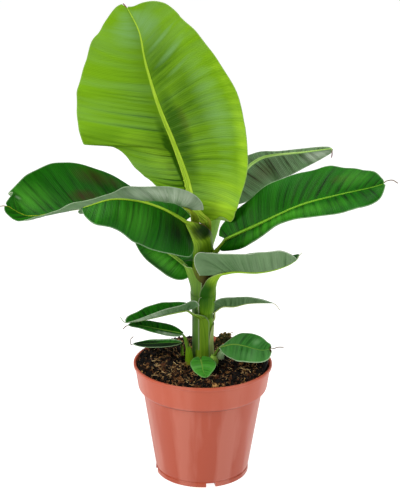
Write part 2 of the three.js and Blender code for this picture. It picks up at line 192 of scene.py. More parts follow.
def makeStudio():
    camera = bpy.data.objects.new("camera", bpy.data.cameras.new("camera"))
    bpy.context.scene.collection.objects.link(camera)
    camera.data.lens = shot["lens"]
    camera.data.clip_end = 100
    camera.matrix_world = (Matrix.Translation(Vector(shot["place"]) * mm)
                           @ Matrix.Rotation(math.radians(90 - shot["pitch"]), 4, "X")
                           @ Matrix.Rotation(math.radians(shot["roll"]), 4, "Z"))
    bpy.context.scene.camera = camera
    for name, (place, aim, width, height, watts, colour) in lights.items():
        lamp = bpy.data.lights.new(name, "AREA")
        lamp.shape = "RECTANGLE"
        lamp.size = width * mm
        lamp.size_y = height * mm
        lamp.energy = watts
        lamp.color = hexColour(colour)[:3]
        holder = bpy.data.objects.new(name, lamp)
        bpy.context.scene.collection.objects.link(holder)
        holder.location = Vector(place) * mm
        holder.rotation_euler = (Vector(aim) - Vector(place)).to_track_quat("-Z", "Y").to_euler()
    # the room is dim in front and brighter behind, as a lit backdrop leaves it
    world = bpy.data.worlds.new("studioRoom")
    bpy.context.scene.world = world
    world.use_nodes = True
    room = world.node_tree
    way = addNode(room, "ShaderNodeTexCoord", out="Generated")
    back = addNode(room, "ShaderNodeSeparateXYZ", {0: way}, "Y")
    glow = addNode(room, "ShaderNodeMapRange", {
        "Value": back, "From Min": -0.4, "From Max": 0.9, "To Min": studio["worldFront"],
        "To Max": studio["worldBack"]}, "Result")
    background = room.nodes["Background"]
    background.inputs["Color"].default_value = hexColour(studio["world"])
    room.links.new(glow, background.inputs["Strength"])
    bpy.context.scene.view_settings.view_transform = "Standard"
    # seamless white paper, lit from behind so that it stays white
    paper, tree, shader = newMaterial("paperBackdrop")
    shader.inputs["Roughness"].default_value = 0.9
    shader.inputs["Base Color"].default_value = hexColour(studio["floor"])
    shader.inputs["Emission Color"].default_value = (1, 1, 1, 1)
    shader.inputs["Emission Strength"].default_value = studio["floorGlow"]
    half = studio["floorSize"] / 2
    corners = [(-half, -half, 0), (half, -half, 0), (half, half, 0), (-half, half, 0)]
    meshPiece("paperFloor", corners, [(0, 1, 2, 3)], [paper])


makeStudio()
print("studio ready")


# the pot: injection-moulded polypropylene, turned from its profile

pot = {
    "height": 117.5,
    "rimRadius": 70,
    "lipHeight": 3.4,
    "bandBottom": 90.5,
    "bandRadius": 65.6,
    "shoulderRadius": 60.4,
    "footRadius": 47.4,
    "footHeight": 4.4,
    "wall": 1.8,
    "insideFloor": 7,
    "sides": 192,
    "notchWidth": 9.6,
    "notchReach": 14,
    "notchCount": 4,
    "notchTurn": -79,
    "colour": "aa4a31",
    "pale": "b6624f",
    # painted light on the band, which faces up more, and painted shadow in the groove under its lip
    "band": "bc5a40",
    "grooveShadow": "7a3324",
    "scuff": "8c5a45",
    # pale vertical streaks of painted reflection of the lit floor: how many round the pot, and where they
    # turn to
    "streaks": 8,
    "sheenStreakTurn": 152,
    "roughness": 0.4,
}


def pottedProfile():
    # radius, height and fillet at each corner, from the middle of the underside to the middle of the inside
    p = pot
    rim, band, shoulder, foot, wall = (p[k] for k in ("rimRadius", "bandRadius", "shoulderRadius",
                                                      "footRadius", "wall"))
    lipBottom = p["height"] - p["lipHeight"]
    corners = [
        (0, 0, 0),
        (foot, 0, 0.7),
        (foot, p["footHeight"], 0.6),
        (foot - 0.9, p["footHeight"] + 0.5, 0.4),
        (foot + 0.3, p["footHeight"] + 3.2, 1.5),
        (shoulder, p["bandBottom"] - 2.2, 1),
        (band - 2.4, p["bandBottom"] - 0.4, 0.8),
        (band - 0.5, p["bandBottom"] + 1.6, 1.6),
        (rim - 1.6, lipBottom - 0.5, 0.4),
        (rim - 0.1, lipBottom + 0.1, 0.7),
        (rim, p["height"], 1.1),
        (rim - wall - 0.5, p["height"], 0.6),
        (rim - wall - 1.6, lipBottom, 1),
        (band - wall - 0.8, p["bandBottom"] + 4, 2),
        (shoulder - wall, p["bandBottom"] - 3, 2),
        (foot - wall - 0.2, p["insideFloor"] + 1, 1.5),
        (0, p["insideFloor"], 0),
    ]
    return rounded(corners)


def rounded(corners, steps=4):
    # each corner becomes a short arc, a quadratic curve between the points where its fillet starts and ends
    out = []
    for i, (x, z, fillet) in enumerate(corners):
        here = np.array([x, z], float)
        if fillet == 0:
            out.append(here)
            continue
        before, after = (np.array(corners[k][:2], float) for k in (i - 1, i + 1))
        a = here + unit(before - here) * min(fillet, np.linalg.norm(before - here) * 0.45)
        b = here + unit(after - here) * min(fillet, np.linalg.norm(after - here) * 0.45)
        for s in np.linspace(0, 1, steps + 1):
            out.append(a * (1 - s) ** 2 + 2 * here * s * (1 - s) + b * s * s)
    return out


def newTree(name, inputs):
    tree = bpy.data.node_groups.new(name, "GeometryNodeTree")
    tree.interface.new_socket(name="Geometry", in_out="INPUT", socket_type="NodeSocketGeometry")
    tree.interface.new_socket(name="Geometry", in_out="OUTPUT", socket_type="NodeSocketGeometry")
    for label, kind in inputs:
        tree.interface.new_socket(name=label, in_out="INPUT", socket_type="NodeSocket" + kind)
    return tree, tree.nodes.new("NodeGroupInput").outputs


def finishTree(tree, given, geometry):
    real = addNode(tree, "GeometryNodeRealizeInstances", {0: geometry}, "Geometry")
    coated = addNode(tree, "GeometryNodeSetMaterial", {"Geometry": real, "Material": given["Material"]},
                     "Geometry")
    addNode(tree, "NodeGroupOutput", {"Geometry": coated})
    return tree


def growWith(base, tree, values, name):
    # runs the tree on the base object and returns its result as a plain mesh piece
    modifier = base.modifiers.new(tree.name, "NODES")
    modifier.node_group = tree
    for socket in tree.interface.items_tree:
        if socket.in_out == "INPUT" and socket.name in values:
            modifier[socket.identifier] = values[socket.name]
    bpy.context.view_layer.update()
    evaluated = base.evaluated_get(bpy.context.evaluated_depsgraph_get())
    mesh = bpy.data.meshes.new_from_object(evaluated)
    mesh.name = name
    base.modifiers.remove(modifier)
    piece = bpy.data.objects.new(name, mesh)
    bpy.context.scene.collection.objects.link(piece)
    return piece


def turningTree():
    # turns the profile's points round the Z axis, closes the seam and the poles, and cuts the foot's notches
    tree, given = newTree("turnedPot", [
        ("Sides", "Int"), ("Foot Radius", "Float"), ("Notch Width", "Float"), ("Notch Reach", "Float"),
        ("Notch Height", "Float"), ("Notch Count", "Int"), ("Notch Turn", "Float"), ("Material", "Material")])
    count = addNode(tree, "GeometryNodeAttributeDomainSize", {0: given["Geometry"]}, "Point Count")
    columns = addNode(tree, "ShaderNodeMath", {0: given["Sides"], 1: 1.0}, "Value", operation="ADD")
    grid = addNode(tree, "GeometryNodeMeshGrid", {"Vertices X": columns, "Vertices Y": count}, "Mesh")
    index = addNode(tree, "GeometryNodeInputIndex", out="Index")
    share = addNode(tree, "ShaderNodeMath", {0: index, 1: count}, "Value", operation="DIVIDE")
    column = addNode(tree, "ShaderNodeMath", {0: share}, "Value", operation="FLOOR")
    row = addNode(tree, "ShaderNodeMath", {0: index, 1: count}, "Value", operation="MODULO")
    place = addNode(tree, "GeometryNodeInputPosition", out="Position")
    sample = addNode(tree, "GeometryNodeSampleIndex",
                     {"Geometry": given["Geometry"], "Value": place, "Index": row},
                     "Value", data_type="FLOAT_VECTOR")
    turns = addNode(tree, "ShaderNodeMath", {0: column, 1: given["Sides"]}, "Value", operation="DIVIDE")
    angle = addNode(tree, "ShaderNodeMath", {0: turns, 1: 2 * math.pi}, "Value", operation="MULTIPLY")
    turned = addNode(tree, "ShaderNodeVectorRotate", {"Vector": sample, "Angle": angle}, "Vector",
                     rotation_type="Z_AXIS")
    shell = addNode(tree, "GeometryNodeSetPosition", {"Geometry": grid, "Position": turned}, "Geometry")
    closed = addNode(tree, "GeometryNodeMergeByDistance", {"Geometry": shell, "Distance": 2e-6}, "Geometry")
    reach = addNode(tree, "ShaderNodeMath", {0: given["Notch Reach"], 1: 2.0}, "Value", operation="MULTIPLY")
    height = addNode(tree, "ShaderNodeMath", {0: given["Notch Height"], 1: 2.0}, "Value",
                     operation="MULTIPLY")
    size = addNode(tree, "ShaderNodeCombineXYZ", {"X": reach, "Y": given["Notch Width"], "Z": height},
                   "Vector")
    block = addNode(tree, "GeometryNodeMeshCube", {"Size": size}, "Mesh")
    ring = addNode(tree, "GeometryNodeMeshCircle",
                   {"Vertices": given["Notch Count"], "Radius": given["Foot Radius"]}, "Mesh")
    part = addNode(tree, "ShaderNodeMath", {0: index, 1: given["Notch Count"]}, "Value", operation="DIVIDE")
    step = addNode(tree, "ShaderNodeMath", {0: part, 1: 2 * math.pi}, "Value", operation="MULTIPLY")
    facing = addNode(tree, "ShaderNodeCombineXYZ", {"Z": step}, "Vector")
    blocks = addNode(tree, "GeometryNodeInstanceOnPoints",
                     {"Points": ring, "Instance": block, "Rotation": facing}, "Instances")
    spin = addNode(tree, "ShaderNodeCombineXYZ", {"Z": given["Notch Turn"]}, "Vector")
    spun = addNode(tree, "GeometryNodeTransform", {"Geometry": blocks, "Rotation": spin}, "Geometry")
    cutters = addNode(tree, "GeometryNodeRealizeInstances", {0: spun}, "Geometry")
    cut = addNode(tree, "GeometryNodeMeshBoolean", {"Mesh 1": closed, "Mesh 2": cutters}, "Mesh",
                  operation="DIFFERENCE")
    return finishTree(tree, given, cut)


def polypropyleneMaterial():
    # moulded polypropylene, terracotta masterbatch: satin, pale vertical streaks of painted reflection down
    # the wall, fine orange peel
    material, tree, shader = newMaterial("mouldedPolypropylene")
    where = addNode(tree, "ShaderNodeTexCoord", out="Object")
    parts = addNode(tree, "ShaderNodeSeparateXYZ", {0: where})
    # painted reflection: paler streaks round the wall, where it would mirror the lit floor
    around = addNode(tree, "ShaderNodeMath", {0: parts.outputs["Y"], 1: parts.outputs["X"]}, "Value",
                     operation="ARCTAN2")
    turns = addNode(tree, "ShaderNodeMath",
                    {0: around, 1: float(pot["streaks"]), 2: math.radians(pot["sheenStreakTurn"])},
                    "Value", operation="MULTIPLY_ADD")
    wave = addNode(tree, "ShaderNodeMath", {0: turns}, "Value", operation="COSINE")
    flow = addNode(tree, "ShaderNodeMapping", {"Vector": where, "Scale": (1, 1, 0.05)}, "Vector")
    fine = addNode(tree, "ShaderNodeTexNoise", {"Vector": flow, "Scale": 60, "Detail": 3, "Roughness": 0.55},
                   "Fac")
    streaks = addNode(tree, "ShaderNodeMath", {0: wave, 1: 0.22, 2: fine}, "Value", operation="MULTIPLY_ADD")
    tone = addNode(tree, "ShaderNodeValToRGB", {"Fac": streaks}, "Color",
                   stops=[(0.42, pot["colour"]), (0.66, pot["pale"])])
    # painted light and shadow: the band, which faces up more, is painted a touch brighter, and a painted
    # shadow darkens the groove under it
    level = addNode(tree, "ShaderNodeMath", {0: parts.outputs["Z"], 1: pot["bandBottom"] * mm}, "Value",
                    operation="SUBTRACT")
    bandLight = addNode(tree, "ShaderNodeMapRange", {
        "Value": level, "From Min": 0.0, "From Max": 3 * mm, "To Max": 0.55}, "Result")
    tone = addNode(tree, "ShaderNodeMix", {"Factor": bandLight, "A": tone, "B": hexColour(pot["band"])},
                   "Result", data_type="RGBA")
    off = addNode(tree, "ShaderNodeMath", {0: level, 1: 1.0 * mm}, "Value", operation="ADD")
    away = addNode(tree, "ShaderNodeMath", {0: off}, "Value", operation="ABSOLUTE")
    grooveShade = addNode(tree, "ShaderNodeMapRange", {
        "Value": away, "From Min": 0.5 * mm, "From Max": 1.6 * mm, "To Min": 0.8, "To Max": 0.0}, "Result")
    tone = addNode(tree, "ShaderNodeMix", {"Factor": grooveShade, "A": tone, "B": hexColour(pot["grooveShadow"])},
                   "Result", data_type="RGBA")
    # compost that was wiped off the band has left a few brown marks
    marks = addNode(tree, "ShaderNodeTexNoise", {"Vector": where, "Scale": 46, "Detail": 5, "Roughness": 0.7},
                    "Fac")
    scuffed = addNode(tree, "ShaderNodeMapRange", {"Value": marks, "From Min": 0.74, "From Max": 0.8},
                      "Result")
    body = addNode(tree, "ShaderNodeMix", {"Factor": scuffed, "A": tone, "B": hexColour(pot["scuff"])},
                   "Result", data_type="RGBA")
    tree.links.new(body, shader.inputs["Base Color"])
    dull = addNode(tree, "ShaderNodeMapRange", {
        "Value": streaks, "To Min": pot["roughness"] + 0.1, "To Max": pot["roughness"] - 0.06}, "Result")
    tree.links.new(dull, shader.inputs["Roughness"])
    peel = addNode(tree, "ShaderNodeTexNoise", {"Vector": where, "Scale": 900, "Detail": 2}, "Fac")
    bump = addNode(tree, "ShaderNodeBump", {"Height": peel, "Strength": 0.08, "Distance": 0.3 * mm}, "Normal")
    tree.links.new(bump, shader.inputs["Normal"])
    shader.inputs["IOR"].default_value = 1.49
    shader.inputs["Specular IOR Level"].default_value = 0.35
    return material


def makePot():
    points = [(r, 0, z) for r, z in pottedProfile()]
    outline = bpy.data.meshes.new("potProfile")
    outline.from_pydata([tuple(c * mm for c in p) for p in points],
                        [(i, i + 1) for i in range(len(points) - 1)], [])
    base = bpy.data.objects.new("potProfile", outline)
    bpy.context.scene.collection.objects.link(base)
    body = growWith(base, turningTree(), {
        "Sides": pot["sides"], "Foot Radius": pot["footRadius"] * mm, "Notch Width": pot["notchWidth"] * mm,
        "Notch Reach": pot["notchReach"] * mm, "Notch Height": pot["footHeight"] * mm,
        "Notch Count": pot["notchCount"], "Notch Turn": math.radians(pot["notchTurn"]),
        "Material": polypropyleneMaterial()}, "potBody")
    bpy.data.objects.remove(base)
    body.data.shade_smooth()
    body.data.set_sharp_from_angle(angle=math.radians(40))
    givePlace(body, "pot")


makePot()
print("pot turned")


# the soil: moist peat and bark compost, a bed with crumbs, bark and roots strewn over it

soil = {
    "edge": 114,
    "crown": 117,
    "flatRadius": 27,
    "edgeRadius": 65,
    "bedRadius": 66.3,
    "bedFloor": 96,
    "rings": 44,
    "sectors": 120,
    "lumpHeight": 1.9,
    "mounds": [  # x, y, height, reach
        (24, 43, 15, 13.5),
        (58, -20, 6, 15),
        (57, -4, 7, 16),
        (60, 22, 6, 15),
        (-36, -24, 4, 17),
        (-60, -4, 4, 17),
        (-14, 60, 5, 24),
        (2, -50, 2, 12),
        (63, -14, 6, 12),
        (-38, 46, 6, 18),
        (-56, 20, 6, 16),
        (-58, -22, 2.5, 12),
    ],
    "clumps": [(-36, -24, 18), (-50, -4, 12), (44, -16, 12), (-8, -44, 10)],  # of roots: x, y, reach
    "moss": (24, 43, 17),  # x, y, reach
    "dark": "140904",
    "brown": "552f16",
    "tan": "c89a5c",
    "moist": "050201",
    "mossy": "42461e",
}

strewn = {
    # how many per cm2, the smallest and largest, how far out they lie, the share kept for the clumps, the
    # seed; a crumb's size is its width, and a root's is a multiple of the length and radius given here
    "soilCrumbs": {"shape": "crumb", "perCm2": 30, "size": (0.7, 3.2), "clear": 65.2, "matted": 0.0,
                   "seed": 11},
    "soilBark": {"shape": "crumb", "perCm2": 3, "size": (2.6, 6.5), "clear": 61, "matted": 0.0, "seed": 23},
    "soilRoots": {"shape": "root", "perCm2": 20, "size": (0.4, 1.1), "clear": 59, "matted": 0.82, "seed": 4,
                  "length": 13, "radius": 0.4},
}


def soilHeight(x, y):
    out = np.clip((np.hypot(x, y) - soil["flatRadius"]) / (soil["edgeRadius"] - soil["flatRadius"]), 0, 1)
    z = mix(soil["crown"], soil["edge"], out ** 1.5)
    for mx, my, height, reach in soil["mounds"]:
        z = z + height * np.clip(1 - np.hypot(x - mx, y - my) ** 2 / reach ** 2, 0, 1) ** 1.2
    return z


def lumps(x, y):
    # a sum of slow waves at odd angles, which reads as lumpy ground
    total = 0
    for i, (size, height) in enumerate(((17, 1.0), (9, 0.9), (5.3, 0.7), (3.1, 0.45))):
        turn = 0.7 + 1.9 * i
        a, b = x * math.cos(turn) + y * math.sin(turn), y * math.cos(turn) - x * math.sin(turn)
        total = total + height * np.sin(2 * math.pi * a / size + i) * np.cos(
            2 * math.pi * b / (size * 1.27) + 2 * i)
    return total


def near(x, y, place):
    px, py, reach = place
    return np.clip(1 - np.hypot(x - px, y - py) / reach, 0, 1)


def compostMaterial():
    # peat and composted bark: nearly black where moist, with brown crumbs and some tan flecks, and an olive
    # cast where moss has caught
    material, tree, shader = newMaterial("peatCompost")
    where = addNode(tree, "ShaderNodeTexCoord", out="Object")
    grit = addNode(tree, "ShaderNodeTexNoise", {"Vector": where, "Scale": 420, "Detail": 4}, "Fac")
    crumb = addNode(tree, "ShaderNodeAttribute", out="Fac", attribute_name="tone")
    speck = addNode(tree, "ShaderNodeMath", {0: grit, 1: 0.36}, "Value", operation="MULTIPLY")
    tone = addNode(tree, "ShaderNodeMath", {0: crumb, 1: 0.78, 2: speck}, "Value", operation="MULTIPLY_ADD")
    earth = addNode(tree, "ShaderNodeValToRGB", {"Fac": tone}, "Color", stops=[
        (0.44, soil["moist"]), (0.7, soil["dark"]), (0.88, soil["brown"]), (1.0, soil["tan"])])
    moss = addNode(tree, "ShaderNodeAttribute", out="Fac", attribute_name="mossy")
    mossed = addNode(tree, "ShaderNodeMix", {"Factor": moss, "A": earth, "B": hexColour(soil["mossy"])},
                     "Result", data_type="RGBA")
    tree.links.new(mossed, shader.inputs["Base Color"])
    shader.inputs["Roughness"].default_value = 0.8
    shader.inputs["Specular IOR Level"].default_value = 0.2
    bump = addNode(tree, "ShaderNodeBump", {"Height": grit, "Strength": 0.6, "Distance": 0.6 * mm}, "Normal")
    tree.links.new(bump, shader.inputs["Normal"])
    return material


def rootMaterial():
    # dry roots and coir: tan to golden threads, a few of them dark
    material, tree, shader = newMaterial("dryRoots")
    thread = addNode(tree, "ShaderNodeAttribute", out="Fac", attribute_name="tone")
    tone = addNode(tree, "ShaderNodeValToRGB", {"Fac": thread}, "Color", stops=[
        (0.0, "3a2414"), (0.4, "7c5a34"), (0.75, "b08a52"), (1.0, "cdb07a")])
    tree.links.new(tone, shader.inputs["Base Color"])
    where = addNode(tree, "ShaderNodeTexCoord", out="Object")
    grain = addNode(tree, "ShaderNodeTexNoise", {"Vector": where, "Scale": 700}, "Fac")
    bump = addNode(tree, "ShaderNodeBump", {"Height": grain, "Strength": 0.4, "Distance": 0.2 * mm}, "Normal")
    tree.links.new(bump, shader.inputs["Normal"])
    shader.inputs["Roughness"].default_value = 0.7
    return material


def makeSoilBed(material):
    n, rings = soil["sectors"], soil["rings"]
    points, faces = [], []
    radii = [soil["bedRadius"] * math.sqrt((i + 1) / rings) for i in range(rings)]
    turns = [2 * math.pi * (k + 0.5) / n for k in range(n)]
    for r in radii:
        calm = min(1, (soil["bedRadius"] - r) / 4 + 0.25)
        for turn in turns:
            x, y = r * math.cos(turn), r * math.sin(turn)
            points.append((x, y, soilHeight(x, y) + soil["lumpHeight"] * calm * lumps(x, y) * 0.55 - 0.6))
    under = soil["bedRadius"] - 4
    points += [(under * math.cos(turn), under * math.sin(turn), soil["bedFloor"]) for turn in turns]
    for i in range(rings):
        for k in range(n):
            a, b = i * n + k, i * n + (k + 1) % n
            faces.append((a, a + n, b + n, b))
    faces.append(tuple(range(n)))
    faces.append(tuple(rings * n + k for k in range(n - 1, -1, -1)))
    p = np.array(points)
    fields = {
        "tone": 0.3 + 0.16 * lumps(p[:, 0] * 1.7, p[:, 1] * 1.7) / 3,
        "mossy": 0.75 * near(p[:, 0], p[:, 1], soil["moss"]),
        "matted": np.max([near(p[:, 0], p[:, 1], c) for c in soil["clumps"]], axis=0),
    }
    return meshPiece("soilBed", points, faces, [material], fields=fields)


def strewTree(name, shapeOf):
    # strews one small shape over the bed's top; shapeOf adds the shape's nodes, for its geometry and its turn
    tree, given = newTree(name, [
        ("Per Square Metre", "Float"), ("Smallest", "Float"), ("Largest", "Float"), ("Matted Share", "Float"),
        ("Clear Radius", "Float"), ("Shape Length", "Float"), ("Shape Radius", "Float"), ("Seed", "Int"),
        ("Material", "Material")])
    normal = addNode(tree, "GeometryNodeInputNormal", out="Normal")
    steep = addNode(tree, "ShaderNodeSeparateXYZ", {0: normal}, "Z")
    facing = addNode(tree, "ShaderNodeMath", {0: steep, 1: 0.2}, "Value", operation="GREATER_THAN")
    # nothing lies so near the wall that it would stick through
    place = addNode(tree, "GeometryNodeInputPosition", out="Position")
    level = addNode(tree, "ShaderNodeVectorMath", {0: place, 1: (1.0, 1.0, 0.0)}, "Vector",
                    operation="MULTIPLY")
    out = addNode(tree, "ShaderNodeVectorMath", {0: level}, "Value", operation="LENGTH")
    clear = addNode(tree, "ShaderNodeMath", {0: out, 1: given["Clear Radius"]}, "Value",
                    operation="LESS_THAN")
    allowed = addNode(tree, "ShaderNodeMath", {0: facing, 1: clear}, "Value", operation="MULTIPLY")
    matted = addNode(tree, "GeometryNodeInputNamedAttribute", {"Name": "matted"}, "Attribute",
                     data_type="FLOAT")
    loose = addNode(tree, "ShaderNodeMath", {0: 1.0, 1: given["Matted Share"]}, "Value", operation="SUBTRACT")
    share = addNode(tree, "ShaderNodeMapRange", {"Value": matted, "To Min": loose}, "Result")
    density = addNode(tree, "ShaderNodeMath", {0: given["Per Square Metre"], 1: share}, "Value",
                      operation="MULTIPLY")
    spots = addNode(tree, "GeometryNodeDistributePointsOnFaces", {
        "Mesh": given["Geometry"], "Selection": allowed, "Density": density, "Seed": given["Seed"]}, "Points",
        distribute_method="RANDOM")
    shape, turn = shapeOf(tree, given)
    size = addNode(tree, "FunctionNodeRandomValue", {
        "Min": given["Smallest"], "Max": given["Largest"], "Seed": given["Seed"]}, "Value", data_type="FLOAT")
    placed = addNode(tree, "GeometryNodeInstanceOnPoints", {
        "Points": spots, "Instance": shape, "Rotation": turn, "Scale": size}, "Instances")
    tone = addNode(tree, "FunctionNodeRandomValue", {"Seed": 7}, "Value", data_type="FLOAT")
    toned = addNode(tree, "GeometryNodeStoreNamedAttribute",
                    {"Geometry": placed, "Name": "tone", "Value": tone},
                    "Geometry", data_type="FLOAT", domain="INSTANCE")
    return finishTree(tree, given, toned)


def crumbShape(tree, given):
    ball = addNode(tree, "GeometryNodeMeshIcoSphere", {"Radius": 0.5, "Subdivisions": 1}, "Mesh")
    noise = addNode(tree, "ShaderNodeTexNoise", {"Scale": 2.3, "Detail": 1}, "Color")
    pushed = addNode(tree, "ShaderNodeVectorMath", {0: noise, 1: (0.5, 0.5, 0.5)}, "Vector",
                     operation="SUBTRACT")
    offset = addNode(tree, "ShaderNodeVectorMath", {0: pushed, 1: (1.5, 1.5, 1.5)}, "Vector",
                     operation="MULTIPLY")
    lumpy = addNode(tree, "GeometryNodeSetPosition", {"Geometry": ball, "Offset": offset}, "Geometry")
    flat = addNode(tree, "GeometryNodeTransform", {"Geometry": lumpy, "Scale": (1.15, 0.85, 0.62)},
                   "Geometry")
    turn = addNode(tree, "FunctionNodeRandomValue", {1: (6.28, 6.28, 6.28), "Seed": 3}, "Value",
                   data_type="FLOAT_VECTOR")
    return flat, turn


def rootShape(tree, given):
    radius = addNode(tree, "ShaderNodeMath", {0: given["Shape Length"], 1: 0.5}, "Value",
                     operation="MULTIPLY")
    arc = addNode(tree, "GeometryNodeCurveArc", {"Resolution": 9, "Sweep Angle": 2.0, "Radius": radius},
                  "Curve")
    noise = addNode(tree, "ShaderNodeTexNoise", {"Scale": 160, "Detail": 1}, "Color")
    centred = addNode(tree, "ShaderNodeVectorMath", {0: noise, 1: (0.5, 0.5, 0.5)}, "Vector",
                      operation="SUBTRACT")
    wriggle = addNode(tree, "ShaderNodeVectorMath", {0: centred, 1: (0.008, 0.008, 0.006)}, "Vector",
                      operation="MULTIPLY")
    bent = addNode(tree, "GeometryNodeSetPosition", {"Geometry": arc, "Offset": wriggle}, "Geometry")
    back = addNode(tree, "GeometryNodeTransform", {"Geometry": bent, "Translation": (-0.004, -0.006, 0.0)},
                   "Geometry")
    ring = addNode(tree, "GeometryNodeCurvePrimitiveCircle",
                   {"Resolution": 4, "Radius": given["Shape Radius"]}, "Curve")
    thread = addNode(tree, "GeometryNodeCurveToMesh",
                     {"Curve": back, "Profile Curve": ring, "Fill Caps": True}, "Mesh")
    turn = addNode(tree, "FunctionNodeRandomValue", {0: (-0.5, -0.5, 0.0), 1: (0.5, 0.5, 6.28), "Seed": 5},
                   "Value", data_type="FLOAT_VECTOR")
    return thread, turn


def mossOn(piece):
    # crumbs and roots take their olive cast from where they lie
    place = np.array([v.co for v in piece.data.vertices]).reshape(-1, 3) / mm
    layer = piece.data.attributes.get("mossy") or piece.data.attributes.new("mossy", "FLOAT", "POINT")
    layer.data.foreach_set("value", (0.85 * near(place[:, 0], place[:, 1], soil["moss"])).astype(np.float32))


def makeSoil():
    peat = compostMaterial()
    looks = {"crumb": (crumbShape, peat), "root": (rootShape, rootMaterial())}
    bed = makeSoilBed(peat)
    loose = []
    cm2PerMetre2 = 10000
    for name, kind in strewn.items():
        shapeOf, material = looks[kind["shape"]]
        sizeUnit = mm if kind["shape"] == "crumb" else 1
        values = {
            "Per Square Metre": kind["perCm2"] * cm2PerMetre2, "Matted Share": kind["matted"],
            "Smallest": kind["size"][0] * sizeUnit, "Largest": kind["size"][1] * sizeUnit,
            "Clear Radius": kind["clear"] * mm, "Seed": kind["seed"], "Material": material}
        if kind["shape"] == "root":
            values["Shape Length"] = kind["length"] * mm
            values["Shape Radius"] = kind["radius"] * mm
        grown = growWith(bed, strewTree(name, shapeOf), values, name)
        mossOn(grown)
        loose.append(grown)
        print("strewn", name, len(grown.data.polygons), "faces")
    givePlace(bed, "soil")
    for piece in loose:
        placeLoose(piece)
    print("soil filled")


def placeLoose(piece):
    # what lies on the soil replaces no solid
    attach(piece, "root")


makeSoil()


# the leaves: each is a folded blade on a midrib, whose stalk runs down into a sheath round the stem

# where along the midrib, from 0 to 1, the lists of a half are given, and the usual slant of the veins there
usualStations = [0, 0.03, 0.08, 0.18, 0.34, 0.52, 0.7, 0.86, 0.95, 1]
usualSlant = [164, 126, 102, 90, 80, 72, 63, 52, 42, 34]
